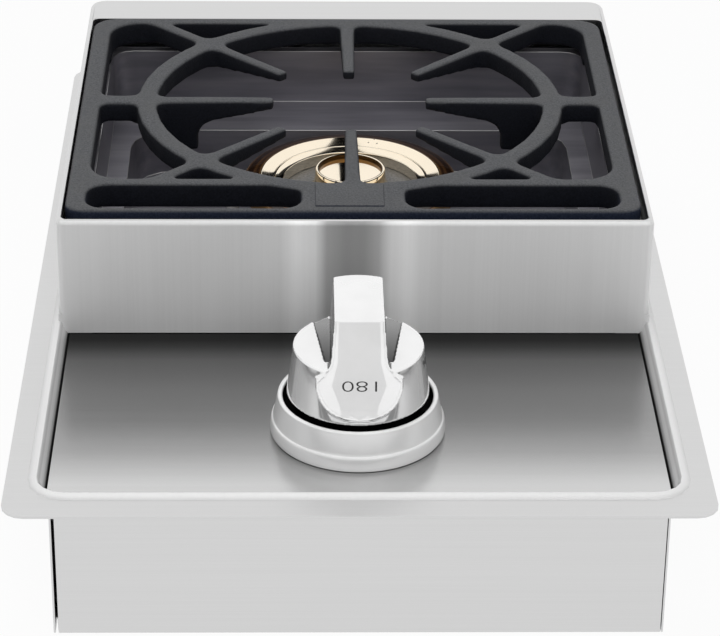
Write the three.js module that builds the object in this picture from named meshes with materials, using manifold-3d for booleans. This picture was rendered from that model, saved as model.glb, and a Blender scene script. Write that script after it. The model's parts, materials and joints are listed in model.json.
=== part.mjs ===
// Built-in side burner: a drop-in gas burner for an outdoor kitchen worktop.
// Millimetres, +Z up. The origin is under the middle of the flange, on the underside of the lower box.
// +X is to the right and +Y to the rear; the knob is at the front, the burner at the rear.
import * as THREE from 'three';
import { mergeVertices } from 'three/addons/utils/BufferGeometryUtils.js';
import Module from 'manifold-3d';

const wasm = await Module();
wasm.setup();

// Driving sizes of the whole burner
const flangeWidth = 333;
const controlDepth = 187;
const surroundDepth = 299;
const rearMargin = 31;
const flangeCorner = 11;
const boxDepth = 72.5;
const sheet = 1.2;
const panelSheet = 1;
const seat = 0.3;
const runningGap = 0.3;
const overrun = 2;

// Pressed top frame: flat margin, raised bead, recessed tray floor
const sideMargin = 10.4;
const endMargin = 14.8;
const beadRun = 4.3;
const beadRise = 1.6;
const beadFall = 3.8;
const beadCorner = 14;
const trayDrop = 5.5;

// Raised surround round the burner
const surroundMargin = 13.9;
const surroundHeight = 59;
const surroundFrontCorner = 3.4;
const surroundRearCorner = 9;
const rimWidth = 2.8;
const rimBend = 2.6;
const rimHem = 6;
const rimEase = 0.4;
const rearDeck = 29;
const rimCorner = 4;

// Lower box, the part that sinks into the worktop
const boxMargin = 21.5;
const panelSet = 12;
const cornerSeam = 1.3;
const panelLip = 10;
const panelTopLip = 5.5;
const ventLength = 42;
const ventWidth = 7;
const ventPitch = 56;
const ventCount = 4;
const ventRowMargin = 136.5;

// Burner liner: edge, wall, shelf, pit
const linerSheet = 1;
const linerSideGap = 14.6;
const linerFrontGap = 19;
const linerRearGap = 38;
const linerTop = 42;
const linerCorner = 12;
const linerEdge = 10;
const linerEdgeFront = 12;
const linerEdgeRear = 6;
const linerDraft = 1;
const shelfHeight = 10;
const shelfSide = 13;
const pitDepth = 158;
const pitCorner = 24;
const pitDrop = 16;
const openingGap = 2.5;
const neckPlay = 1.5;
const ledgeWidth = 10;
const ledgeDepth = 16;
const ledgeMargin = 8;

// Burner
const burnerShift = 10;
const capRadius = 60;
const capLip = 1.3;
const capLipHeight = 2;
const capSlopeInset = 7;
const capSlopeHeight = 6.3;
const capCrestInset = 9.6;
const capHeight = 7;
const capGrooveInset = 16.4;
const capGrooveHeight = 2.8;
const capInnerInset = 21.6;
const capInnerHeight = 1.6;
const capWall = 2.5;
const capLap = 2;
const capGrooveEase = 0.4;
const deckInset = 20;
const deckHeight = 19.7;
const deckSheet = 2.5;
const deckHole = 13;
const chamberWall = 5;
const bowlInset = 4.5;
const bowlTaper = 7.5;
const bowlRim = 22.7;
const bowlRimWidth = 3;
const bowlWall = 3;
const footFlare = 2;
const footHeight = 3;
const neckRadius = 24;
const neckWall = 3.5;
const neckDrop = 40.3;
const windowWidth = 12;
const windowCount = 5;
const portCount = 15;
const portWidth = 2.2;
const portHeight = 2.1;
const cupRadius = 19.6;
const cupHeight = 14.2;
const cupRim = 1.2;
const cupDish = 3;
const cupRimWidth = 1.8;
const cupRimSlope = 0.6;
const cupSkirtRadius = 22.5;
const cupSkirtHeight = 2.7;
const cupWall = 3;
const cupPlate = 4.5;
const cupPortCount = 5;
const spigotRadius = 9;
const spigotDrop = 8;

// Gas line
const gasAxis = 38;
const tubeBore = 9.5;
const tubeThroat = 8;
const tubeWall = 1.5;
const spudReach = 12.5;
const tubeEntry = 3;
const mouthLength = 24;
const mouthBore = 13.5;
const mouthPlate = 1.5;
const airWindowSet = 1.5;
const airWindowLength = 9;
const airWindowWidth = 13;
const shutterWall = 1.2;
const shutterLength = 14;
const spudRadius = 3.6;
const spudGap = 1;
const spudBore = 1.2;
const holderHex = 14;
const holderLength = 14;
const holderNeck = 5;
const feedRadius = 3.2;
const feedWall = 0.8;
const inletRadius = 6.4;
const inletWall = 1.2;
const inletSet = 100;
const inletBend = 22;
const fittingHex = 22;
const fittingHexLength = 9;
const fittingReach = 11;
const fittingRadius = 7.9;
const fittingBore = 4;
const shieldGap = 9;
const shieldFlange = 12;
const strapWidth = 34;
const strapBack = 28;
const strapFoot = 14;

// Valve under the tray
const knobFromEdge = 90;
const bracketWidth = 96;
const bracketDepth = 40;
const bracketFoot = 14;
const bracketDrop = 7;
const bracketSheet = 1.5;
const bonnetWidth = 46;
const bonnetDepth = 26;
const bonnetHeight = 3;
const bonnetCorner = 8.7;
const bonnetNeckRadius = 8.5;
const bonnetNeckHeight = 8;
const valveRadius = 15;
const valveHeight = 31;
const bossRadius = 8.5;
const bossReach = 21;
const plugRadius = 9;
const plugTaper = 1.2;
const plugHeight = 24;
const plugBore = 2.5;
const socketDepth = 9;
const stemRadius = 4;
const stemFlat = 1.2;
const stemEntry = 4;
const stemTop = 34;
const nutHex = 24;
const nutHeight = 4.5;
const pushTravel = 3;

// Knob and its bezel
const bezelRadius = 42.7;
const bezelHeight = 19.6;
const bezelRimRadius = 39.2;
const bezelBore = 36.6;
const bezelBand = 7.8;
const bezelStep = 1;
const bezelEase = 0.8;
const spacerBore = 31;
const spacerHeight = 13;
const knobBase = 15.6;
const knobBaseRadius = 34.8;
const knobFace = 41.5;
const knobFaceRadius = 31.6;
const knobTop = 64.3;
const knobWall = 3;
const knobEdge = 0.9;
const gripWidth = 24;
const gripFootWidth = 26.8;
const gripFront = 19;
const gripEdge = 1.2;
const rampRun = 13.7;
const rampFall = 39.3;
const noseWidth = 41;
const noseShoulder = 6;
const noseDip = 5;
const noseTipHeight = 18.6;
const noseSideHeight = 32;
const noseCornerShare = 0.83;
const noseBack = 20;
const grooveFrontWidth = 3;
const grooveRearWidth = 7.5;
const grooveDepth = 5;
const grooveFront = 18;
const grooveRear = 17;
const hubRadius = 9;
const hubBase = 6;

// Grate
const grateSidePlay = 4.5;
const grateFrontPlay = 10;
const grateRearPlay = 3.4;
const grateShift = 0.7;
const grateTop = 60.5;
const grateRearCorner = 13;
const grateFrontCorner = 9;
const railWidth = 10.8;
const railDepth = 14;
const rearRailWidth = 7;
const padDepth = 39;
const openingCorner = 17;
const slotSet = 4;
const slotDepth = 27;
const slotCorner = 10;
const bossWidth = 54;
const ringRadius = 106.6;
const ringWidth = 10.8;
const ringDepth = 12;
const bridgeWidth = 11;
const fingerWidth = 8.6;
const fingerTipWidth = 6.6;
const fingerTipDepth = 5.5;
const diagonalWidth = 8;
const sideTip = 42;
const endTip = 39;
const diagonalTip = 52;
const legDrop = 29.5;
const legSet = 22.6;
const legWidth = 28;
const legBend = 8;
const legEase = 2.7;
const footLength = 16;
const footInset = 2;
const junction = 5;
const narrowCorner = 1.5;
const wideCorner = 11;
const squareShare = 0.1;

// Ignition
const ceramicRadius = 3.4;
const ceramicHeight = 24;
const ceramicDrop = 5.5;
const ceramicCollar = 4.8;
const electrodeRadius = 1;
const electrodeRise = 2.5;
const electrodeGap = 6;
const electrodePlate = 16;
const electrodePlateInner = 6;
const electrodeBend = 1.5;
const leadRadius = 1.5;
const leadSet = 6;
const leadBend = 9;
const moduleBehindKnob = 40;
const moduleCorner = 2;
const moduleWidth = 46;
const moduleDepth = 30;
const moduleHeight = 30;

// Fasteners
const screwRadius = 2;
const screwHeadRadius = 3.6;
const screwHeadHeight = 2.2;
const panScrewMargin = 41.5;
const bonnetScrewSet = 18.5;

// Flat faces round a full turn: of large rings, caps, shafts and holes, and small pieces
const largeSteps = 48;
const capSteps = 30;
const bezelSteps = 36;
const holeSteps = 24;
const shaftSteps = 16;
const barSteps = 12;
const screwSteps = 8;

// Places worked out from the driving sizes
const flangeTop = boxDepth;
const flangeDepth = controlDepth + surroundDepth + rearMargin;
const frontEdge = -flangeDepth / 2;
const trayTop = flangeTop - trayDrop;
const trayUnder = trayTop - sheet;
const rimTop = flangeTop + surroundHeight;
const surroundHalf = flangeWidth / 2 - surroundMargin;
const surroundStart = frontEdge + controlDepth;
const surroundEnd = surroundStart + surroundDepth;
const boxHalf = flangeWidth / 2 - boxMargin;
const boxFront = frontEdge + panelSet;
const boxRear = -boxFront;
const linerHalf = surroundHalf - linerSideGap;
const linerStart = surroundStart + linerFrontGap;
const linerEnd = surroundEnd - linerRearGap;
const pitHalf = linerHalf - shelfSide;
const pitMiddle = (linerStart + linerEnd) / 2;
const pitStart = pitMiddle - pitDepth / 2;
const pitEnd = pitMiddle + pitDepth / 2;
const burnerY = pitMiddle + burnerShift;
const knobY = frontEdge + knobFromEdge;
const gasZ = flangeTop - gasAxis;
const bottomTop = panelSheet + seat + panelSheet;
const shieldY = surroundStart + shieldGap;
const holderY0 = shieldY + sheet + seat;
const holderY1 = holderY0 + holderLength;

const steel = { color: 0xc9cacb, metalness: 1, roughness: 0.34 };
const innerSteel = { color: 0x8f8f92, metalness: 1, roughness: 0.22 };
const plated = { color: 0xb9bcc0, metalness: 1, roughness: 0.45 };
const chrome = { color: 0xeeeeee, metalness: 1, roughness: 0.06 };
const castIron = { color: 0x4a4b4f, metalness: 0.1, roughness: 0.7 };
const brass = { color: 0xd9b368, metalness: 1, roughness: 0.12 };
const castAlloy = { color: 0x8d8e92, metalness: 1, roughness: 0.5 };
const darkPlastic = { color: 0x101114, metalness: 0, roughness: 0.45 };
const ceramic = { color: 0xe8e4da, metalness: 0, roughness: 0.35 };

// A closed body from a geometry, with its faces turned outwards
function body(geometry) {
  const bare = geometry.index ? geometry.toNonIndexed() : geometry.clone();
  for (const name of Object.keys(bare.attributes)) {
    if (name !== 'position') bare.deleteAttribute(name);
  }
  const merged = mergeVertices(bare, seat / 1000);
  const place = merged.attributes.position.array;
  const index = merged.index.array;
  const corners = [];
  let volume = 0;
  for (let i = 0; i < index.length; i += 3) {
    const [a, b, c] = [index[i], index[i + 1], index[i + 2]];
    if (a === b || b === c || a === c) continue;
    corners.push(a, b, c);
    const [p, q, r] = [a, b, c].map((k) => new THREE.Vector3().fromArray(place, 3 * k));
    volume += p.dot(q.cross(r));
  }
  if (volume < 0) corners.reverse();
  const mesh = new wasm.Mesh({
    numProp: 3,
    vertProperties: new Float32Array(place),
    triVerts: new Uint32Array(corners),
  });
  return new wasm.Manifold(mesh);
}

function fuse(...pieces) {
  return pieces.reduce((whole, piece) => whole.add(piece));
}

function cut(piece, ...tools) {
  return tools.reduce((rest, tool) => rest.subtract(tool), piece);
}

const part = new THREE.Group();

// A finished body becomes one named piece of the burner
function place(name, solid, look) {
  const mesh = solid.getMesh();
  const geometry = new THREE.BufferGeometry();
  geometry.setAttribute('position', new THREE.BufferAttribute(new Float32Array(mesh.vertProperties), 3));
  geometry.setIndex(new THREE.BufferAttribute(new Uint32Array(mesh.triVerts), 1));
  geometry.computeVertexNormals();
  const piece = new THREE.Mesh(geometry, new THREE.MeshStandardMaterial(look));
  piece.name = name;
  part.add(piece);
}

function block(x0, x1, y0, y1, z0, z1) {
  const shape = new THREE.BoxGeometry(x1 - x0, y1 - y0, z1 - z0);
  return body(shape.translate((x0 + x1) / 2, (y0 + y1) / 2, (z0 + z1) / 2));
}

// A profile of [radius, height] points turned about the vertical through (x, y)
function turned(profile, steps, x = 0, y = 0) {
  const points = profile.map(([r, z]) => new THREE.Vector2(r, z));
  return body(new THREE.LatheGeometry(points, steps).rotateX(Math.PI / 2).translate(x, y, 0));
}

// A closed profile that doesn't meet the axis comes back to its first point
function ringTurned(profile, steps, x = 0, y = 0) {
  return turned([...profile, profile[0]], steps, x, y);
}

function round(radius, z0, z1, steps, x = 0, y = 0) {
  return turned([[0, z0], [radius, z0], [radius, z1], [0, z1]], steps, x, y);
}

// The same, lying along Y through (x, z)
function lying(profile, steps, x, z) {
  const points = profile.map(([r, y]) => new THREE.Vector2(r, y));
  return body(new THREE.LatheGeometry(points, steps).translate(x, 0, z));
}

function lyingRound(radius, y0, y1, steps, x, z) {
  return lying([[0, y0], [radius, y0], [radius, y1], [0, y1]], steps, x, z);
}

// The same, lying along X through (y, z)
function across(profile, steps, y, z) {
  const points = profile.map(([r, x]) => new THREE.Vector2(r, x));
  return body(new THREE.LatheGeometry(points, steps).rotateZ(-Math.PI / 2).translate(0, y, z));
}

function acrossRound(radius, x0, x1, steps, y, z) {
  return across([[0, x0], [radius, x0], [radius, x1], [0, x1]], steps, y, z);
}

// A block standing out from a vertical axis through (x, y), turned about it
function spoke(r0, r1, width, z0, z1, turn, x, y) {
  const shape = new THREE.BoxGeometry(r1 - r0, width, z1 - z0);
  shape.translate((r0 + r1) / 2, 0, (z0 + z1) / 2);
  return body(shape.rotateZ(turn).translate(x, y, 0));
}

function spokes(count, ...size) {
  const [r0, r1, width, z0, z1, x, y] = size;
  const turns = Array.from({ length: count }, (_, i) => (2 * Math.PI * i) / count);
  return turns.map((turn) => spoke(r0, r1, width, z0, z1, turn + Math.PI / capSteps, x, y));
}

function outline(points) {
  return new THREE.Shape(points.map(([x, y]) => new THREE.Vector2(x, y)));
}

// A shape in plan, from z0 up to z1
function slab(shape, z0, z1, curveSegments = 6) {
  const solid = new THREE.ExtrudeGeometry(shape, { depth: z1 - z0, bevelEnabled: false, curveSegments });
  return body(solid.translate(0, 0, z0));
}

// A shape seen from the right side, its points as [y, z], from x0 to x1
function sideSlab(shape, x0, x1, curveSegments = 6) {
  const solid = new THREE.ExtrudeGeometry(shape, { depth: x1 - x0, bevelEnabled: false, curveSegments });
  solid.rotateX(Math.PI / 2).rotateZ(Math.PI / 2);
  return body(solid.translate(x0, 0, 0));
}

// A shape seen from the front, its points as [x, z], from y0 to y1
function frontSlab(shape, y0, y1, curveSegments = 6) {
  const solid = new THREE.ExtrudeGeometry(shape, { depth: y1 - y0, bevelEnabled: false, curveSegments });
  return body(solid.rotateX(Math.PI / 2).translate(0, y1, 0));
}

function roundedPlan(x0, x1, y0, y1, radius) {
  const shape = new THREE.Shape();
  shape.moveTo(x0 + radius, y0);
  shape.lineTo(x1 - radius, y0);
  shape.absarc(x1 - radius, y0 + radius, radius, -Math.PI / 2, 0);
  shape.lineTo(x1, y1 - radius);
  shape.absarc(x1 - radius, y1 - radius, radius, 0, Math.PI / 2);
  shape.lineTo(x0 + radius, y1);
  shape.absarc(x0 + radius, y1 - radius, radius, Math.PI / 2, Math.PI);
  shape.lineTo(x0, y0 + radius);
  shape.absarc(x0 + radius, y0 + radius, radius, Math.PI, 1.5 * Math.PI);
  return shape;
}

function hexagon(acrossFlats, x = 0, y = 0) {
  const reach = acrossFlats / Math.sqrt(3);
  const points = [];
  for (let i = 0; i < 6; i += 1) {
    const turn = (i * Math.PI) / 3;
    points.push([x + reach * Math.cos(turn), y + reach * Math.sin(turn)]);
  }
  return outline(points);
}

// One level of a sheet pressing: a rounded rectangle at a height
function level(half, y0, y1, z, frontCorner, rearCorner, steps = 4) {
  const points = [];
  const corners = [
    [half - frontCorner, y0 + frontCorner, frontCorner, -Math.PI / 2],
    [half - rearCorner, y1 - rearCorner, rearCorner, 0],
    [rearCorner - half, y1 - rearCorner, rearCorner, Math.PI / 2],
    [frontCorner - half, y0 + frontCorner, frontCorner, Math.PI],
  ];
  for (const [x, y, radius, start] of corners) {
    for (let i = 0; i <= steps; i += 1) {
      const turn = start + (i / steps) * (Math.PI / 2);
      points.push([x + radius * Math.cos(turn), y + radius * Math.sin(turn), z]);
    }
  }
  return points;
}

// Joins levels into a body; the ends are closed with flat faces unless the levels run round in a loop
function pressing(levels, looped) {
  const count = levels[0].length;
  const place = [];
  const put = (p, q, r) => place.push(...p, ...q, ...r);
  const spans = looped ? levels.length : levels.length - 1;
  for (let k = 0; k < spans; k += 1) {
    const low = levels[k];
    const high = levels[(k + 1) % levels.length];
    for (let i = 0; i < count; i += 1) {
      const j = (i + 1) % count;
      put(low[i], low[j], high[j]);
      put(low[i], high[j], high[i]);
    }
  }
  if (!looped) {
    const first = levels[0];
    const last = levels[levels.length - 1];
    for (let i = 1; i < count - 1; i += 1) {
      put(first[0], first[i + 1], first[i]);
      put(last[0], last[i], last[i + 1]);
    }
  }
  const geometry = new THREE.BufferGeometry();
  geometry.setAttribute('position', new THREE.BufferAttribute(new Float32Array(place), 3));
  return body(geometry);
}

// A round bar along a flat route of straight runs with a bend at each corner
function bentBar(corners, bend, radius, sides, bendSteps = 5) {
  const stops = corners.map((corner) => new THREE.Vector3(...corner));
  const [first, second, third] = stops;
  const normal = second.clone().sub(first).cross(third.clone().sub(second)).normalize();
  const ring = (at, along) => {
    const side = normal.clone().cross(along);
    return Array.from({ length: sides }, (_, i) => {
      const turn = (2 * Math.PI * i) / sides;
      const reach = side.clone().multiplyScalar(radius * Math.cos(turn));
      return at.clone().add(reach).addScaledVector(normal, radius * Math.sin(turn)).toArray();
    });
  };
  const way = (i) => stops[i + 1].clone().sub(stops[i]).normalize();
  const rings = [ring(first, way(0))];
  for (let i = 1; i < stops.length - 1; i += 1) {
    const before = way(i - 1);
    const after = way(i);
    const angle = before.angleTo(after);
    const hand = Math.sign(before.clone().cross(after).dot(normal));
    const start = stops[i].clone().addScaledVector(before, -bend * Math.tan(angle / 2));
    const centre = start.clone().addScaledVector(normal.clone().cross(before), hand * bend);
    for (let k = 0; k <= bendSteps; k += 1) {
      const turn = (hand * angle * k) / bendSteps;
      const arm = start.clone().sub(centre).applyAxisAngle(normal, turn);
      rings.push(ring(centre.clone().add(arm), before.clone().applyAxisAngle(normal, turn)));
    }
  }
  rings.push(ring(stops[stops.length - 1], way(stops.length - 2)));
  return pressing(rings, false);
}

// Pressed top frame
const beadPath = [];
const beadSteps = 3;
for (let i = 0; i <= beadSteps; i += 1) {
  const turn = (i / beadSteps) * (Math.PI / 2);
  beadPath.push({ run: beadRun * (1 - Math.cos(turn)) - beadRun, rise: beadRise * Math.sin(turn) });
}
for (let i = 1; i <= beadSteps; i += 1) {
  const turn = (i / beadSteps) * Math.PI;
  const drop = ((beadRise + trayDrop) * (1 - Math.cos(turn))) / 2;
  beadPath.push({ run: (beadFall * i) / beadSteps, rise: beadRise - drop });
}

function frameLevel(sideInset, endInset, corner, z) {
  const half = flangeWidth / 2 - sideInset;
  const end = flangeDepth / 2 - endInset;
  return level(half, -end, end, z, corner, corner);
}

function beadLevel({ run, rise }, shift, drop) {
  const reach = beadRun + run + shift;
  const corner = beadCorner - run - shift;
  return frameLevel(sideMargin + reach, endMargin + reach, corner, flangeTop + rise - drop);
}

const underShift = sheet / 2;
const frameTop = [frameLevel(0, 0, flangeCorner, flangeTop), ...beadPath.map((p) => beadLevel(p, 0, 0))];
const frameUnder = beadPath.map((p) => beadLevel(p, p.run > 0 ? -underShift : 0, sheet)).reverse();
frameUnder.push(frameLevel(0, 0, flangeCorner, flangeTop - sheet));
const framePressing = pressing([...frameUnder, ...frameTop], false);

const burnerOpening = slab(
  roundedPlan(
    -linerHalf - openingGap, linerHalf + openingGap,
    linerStart - openingGap, linerEnd + openingGap, linerCorner,
  ),
  trayUnder - overrun, trayTop + overrun,
);
const stemOpeningRadius = bonnetNeckRadius + openingGap;
const stemOpening = round(stemOpeningRadius, trayUnder - overrun, trayTop + overrun, holeSteps, 0, knobY);
place('top_frame', cut(framePressing, burnerOpening, stemOpening), steel);

// Raised surround: one folded sheet with a rolled rim, its rear deck wider than the rim
function surroundLevel(inset, z, inner) {
  const rearInset = inner ? rearDeck - rimWidth + inset : inset;
  const frontCorner = inner ? rimCorner : Math.max(surroundFrontCorner - inset, sheet);
  const rearCorner = inner ? rimCorner : Math.max(surroundRearCorner - inset, sheet);
  return level(
    surroundHalf - inset, surroundStart + inset, surroundEnd - rearInset, z, frontCorner, rearCorner,
  );
}

const wallFoot = trayTop + seat;
const rimSteps = 3;
const surroundLevels = [surroundLevel(0, wallFoot, false)];
for (let i = 0; i <= rimSteps; i += 1) {
  const turn = (i / rimSteps) * (Math.PI / 2);
  const inset = rimBend * (1 - Math.cos(turn));
  surroundLevels.push(surroundLevel(inset, rimTop - rimBend * (1 - Math.sin(turn)), false));
}
surroundLevels.push(surroundLevel(rimWidth - rimEase, rimTop, true));
surroundLevels.push(surroundLevel(rimWidth, rimTop - rimEase, true));
surroundLevels.push(surroundLevel(rimWidth, rimTop - rimHem, true));
surroundLevels.push(surroundLevel(rimWidth - sheet / 2, rimTop - rimHem, true));
surroundLevels.push(surroundLevel(rimWidth - sheet / 2, rimTop - sheet, true));
surroundLevels.push(surroundLevel(sheet + rimEase, rimTop - sheet, false));
surroundLevels.push(surroundLevel(sheet, rimTop - rimBend, false));
surroundLevels.push(surroundLevel(sheet, wallFoot, false));
const beadTop = flangeTop + beadRise + seat;
const beadInner = flangeWidth / 2 - sideMargin - 2 * beadRun - beadFall;
const surroundNotches = [-1, 1].map((side) => block(
  side < 0 ? -surroundHalf - overrun : beadInner,
  side < 0 ? -beadInner : surroundHalf + overrun,
  surroundStart - overrun, surroundEnd + overrun,
  wallFoot - overrun, beadTop,
));
place('raised_surround', cut(pressing(surroundLevels, true), ...surroundNotches), steel);

// Front and rear panels of the lower box: a sheet with a lip turned in at the top and the bottom.
// They leave an open seam at the left corner and close up to the right side panel.
const panelLeft = panelSheet + cornerSeam - boxHalf;
const panelRight = boxHalf - panelSheet - seat;
const panelTop = flangeTop - sheet - seat;

function endPanel(side) {
  const face = side * boxRear;
  const inner = face - side * panelSheet;
  const points = [
    [face, 0], [face, panelTop],
    [face - side * (panelSheet + panelTopLip), panelTop],
    [face - side * (panelSheet + panelTopLip), panelTop - panelSheet],
    [inner, panelTop - panelSheet], [inner, panelSheet],
    [inner - side * panelLip, panelSheet], [inner - side * panelLip, 0],
  ];
  return sideSlab(outline(points), panelLeft, panelRight);
}

const inletHole = lyingRound(fittingRadius + seat, boxRear - panelSheet - overrun, boxRear + overrun,
  holeSteps, inletSet, gasZ);
place('front_panel', endPanel(-1), steel);
place('rear_panel', cut(endPanel(1), inletHole), steel);

// Side panels: lip at the bottom turned in, held back from the end panels' lips
const sideTop = trayUnder - seat;
const lipStart = boxFront + 2 * panelSheet + panelLip;

const panScrewPlaces = [];
for (const side of [-1, 1]) {
  for (const end of [-1, 0, 1]) {
    panScrewPlaces.push([side * (boxHalf - panelSheet - panelLip / 2), end * (boxRear - panScrewMargin)]);
  }
}
const panScrewHoles = panScrewPlaces.map(([x, y]) => round(screwRadius + seat, -overrun,
  bottomTop + overrun, screwSteps, x, y));

function sidePanel(side) {
  const outer = side * boxHalf;
  const inner = side * (boxHalf - panelSheet);
  const lip = side * (boxHalf - panelSheet - panelLip);
  const wall = block(Math.min(outer, inner), Math.max(outer, inner), boxFront, boxRear, 0, sideTop);
  const foot = block(Math.min(outer, lip), Math.max(outer, lip), lipStart, -lipStart, 0, panelSheet);
  const head = block(Math.min(outer, lip), Math.max(outer, lip), lipStart, -lipStart,
    sideTop - panelSheet, sideTop);
  return cut(fuse(wall, foot, head), ...panScrewHoles);
}

place('left_side_panel', sidePanel(-1), steel);
place('right_side_panel', sidePanel(1), steel);

// Bottom pan with two rows of vents
const panGap = panelSheet + cornerSeam;
const panX = boxHalf - panGap;
const panY = boxRear - panGap;
const panBase = panelSheet + seat;
const vents = [];
for (const row of [-1, 1]) {
  for (let i = 0; i < ventCount; i += 1) {
    const x = (i - (ventCount - 1) / 2) * ventPitch;
    const y = row * (boxRear - ventRowMargin);
    const slot = roundedPlan(
      x - ventWidth / 2, x + ventWidth / 2, y - ventLength / 2, y + ventLength / 2, ventWidth / 2,
    );
    vents.push(slab(slot, panBase - overrun, bottomTop + overrun, 1));
  }
}
const panSheet = block(-panX, panX, -panY, panY, panBase, bottomTop);
place('bottom_pan', cut(panSheet, ...vents, ...panScrewHoles), plated);

// Burner liner: edge, drafted wall, shelf and pit, pressed from one sheet
const linerTopZ = flangeTop + linerTop;
const shelfZ = flangeTop + shelfHeight;
const pitZ = flangeTop - pitDrop;
const pitHoleTop = pitZ + overrun;
const pitHoleFoot = pitZ - linerSheet - overrun;

function linerLevels(drop, grow) {
  const wide = linerHalf + grow;
  const y0 = linerStart - grow;
  const y1 = linerEnd + grow;
  const rim = [
    linerHalf + linerEdge, linerStart - linerEdgeFront, linerEnd + linerEdgeRear,
  ];
  const corner = linerCorner + grow;
  return [
    level(rim[0], rim[1], rim[2], linerTopZ - drop, linerCorner / 2, linerCorner / 2),
    level(wide, y0, y1, linerTopZ - drop, corner, corner),
    level(wide - linerDraft, y0 + linerDraft, y1 - linerDraft, shelfZ - drop, corner, corner),
    level(pitHalf + grow, pitStart - grow, pitEnd + grow, shelfZ - drop, pitCorner + grow, pitCorner + grow),
    level(pitHalf + grow - linerDraft, pitStart - grow + linerDraft, pitEnd + grow - linerDraft,
      pitZ - drop, pitCorner + grow, pitCorner + grow),
  ];
}

const linerUpper = linerLevels(0, 0);
const linerLower = linerLevels(linerSheet, linerSheet).reverse();
const electrodeSet = capRadius + electrodeGap;
const neckOpening = round(neckRadius + neckPlay, pitHoleFoot, pitHoleTop, capSteps, 0, burnerY);
const electrodeOpening = round(ceramicRadius + seat, pitHoleFoot, pitHoleTop, shaftSteps,
  -electrodeSet, burnerY);
place('burner_liner', cut(pressing([...linerLower, ...linerUpper], false), neckOpening, electrodeOpening),
  innerSteel);

// Ledges on the surround's side walls that carry the liner's edge
const ledgeTop = linerTopZ - linerSheet - seat;
const ledgeStart = linerStart + ledgeMargin;
const ledgeEnd = linerEnd - ledgeMargin;

function ledge(side) {
  const wall = surroundHalf - sheet - seat;
  const points = [
    [wall, ledgeTop], [wall - ledgeWidth, ledgeTop], [wall - ledgeWidth, ledgeTop - sheet],
    [wall - sheet, ledgeTop - sheet], [wall - sheet, ledgeTop - ledgeDepth], [wall, ledgeTop - ledgeDepth],
  ];
  return frontSlab(outline(points.map(([x, z]) => [side * x, z])), ledgeStart, ledgeEnd);
}

place('left_grate_ledge', ledge(-1), plated);
place('right_grate_ledge', ledge(1), plated);

// Cast grate: frame, front pad with two slots, ring, bridges, fingers, diagonals and feet
const grateX = -grateShift;
const grateY0 = surroundStart + grateFrontPlay;
const grateY1 = surroundEnd - rearDeck - grateRearPlay;
const grateHalf = surroundHalf - grateSidePlay;
const grateTopZ = flangeTop + grateTop;
const railUnder = grateTopZ - railDepth;
const ringUnder = grateTopZ - ringDepth;
const ringOuter = ringRadius + ringWidth;
const openLeft = grateX - grateHalf + railWidth;
const openRight = grateX + grateHalf - railWidth;
const openFront = grateY0 + padDepth;
const tipUnder = grateTopZ - fingerTipDepth;
const openRear = grateY1 - rearRailWidth;

// A web that stands out from the ring's centre: its plan and its side view, then turned into place
function web(planPoints, sidePoints, turn) {
  const depth = Math.max(...sidePoints.map(([, z]) => z)) - Math.min(...sidePoints.map(([, z]) => z));
  const plan = new THREE.ExtrudeGeometry(outline(planPoints), { depth, bevelEnabled: false });
  plan.translate(0, 0, grateTopZ - depth);
  const side = new THREE.ExtrudeGeometry(outline(sidePoints), { depth: bridgeWidth, bevelEnabled: false });
  side.rotateX(Math.PI / 2).translate(0, bridgeWidth / 2, 0);
  const pieces = [plan, side].map((shape) => body(shape.rotateZ(turn).translate(grateX, burnerY, 0)));
  return pieces[0].intersect(pieces[1]);
}

function taperPlan(r0, w0, r1, w1) {
  return [[r0, -w0 / 2], [r1, -w1 / 2], [r1, w1 / 2], [r0, w0 / 2]];
}

// Fillet where two edges meet at a corner, its two directions given as angles
function fillet(x, y, first, aim, radius, z0, z1) {
  const second = first + Math.atan2(Math.sin(aim - first), Math.cos(aim - first));
  const half = (second - first) / 2;
  const middle = (first + second) / 2;
  const reach = Math.abs(radius / Math.tan(half));
  const span = Math.abs(radius / Math.sin(half));
  const cx = x + span * Math.cos(middle);
  const cy = y + span * Math.sin(middle);
  const shape = new THREE.Shape();
  shape.moveTo(x - seat * Math.cos(middle), y - seat * Math.sin(middle));
  shape.lineTo(x + reach * Math.cos(first), y + reach * Math.sin(first));
  const start = first - Math.sign(half) * (Math.PI / 2);
  const end = second + Math.sign(half) * (Math.PI / 2);
  shape.absarc(cx, cy, radius, start, end, half > 0);
  return slab(shape, z0, z1, 2);
}

// The fillets of a web that stands out from the ring at a turn, on both of its sides
function webFillets(turn, width, radius, outward) {
  return [-1, 1].map((side) => {
    const off = side * Math.asin(width / 2 / radius);
    const x = grateX + radius * Math.cos(turn + off);
    const y = burnerY + radius * Math.sin(turn + off);
    const alongWeb = outward ? turn : turn + Math.PI;
    const alongRing = turn + off + (side * Math.PI) / 2;
    return fillet(x, y, alongWeb, alongRing, junction, ringUnder, grateTopZ);
  });
}

// The side of the frame's opening that a web meets: which way it faces, and how far it is along the web
function edgeAt(turn) {
  const edges = [
    [0, openRight - grateX], [Math.PI / 2, openRear - burnerY],
    [Math.PI, grateX - openLeft], [1.5 * Math.PI, burnerY - openFront],
  ];
  const met = edges.map(([facing, distance]) => ({ facing, reach: distance / Math.cos(turn - facing) }));
  return met.filter(({ reach }) => reach > 0).reduce((near, edge) => (edge.reach < near.reach ? edge : near));
}

// A narrow corner keeps a tight fillet and a wide one an easy fillet
function cornerRadius(first, second) {
  const meet = Math.cos(first - second);
  if (Math.abs(meet) < squareShare) return junction;
  return meet > 0 ? narrowCorner : wideCorner;
}

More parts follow.
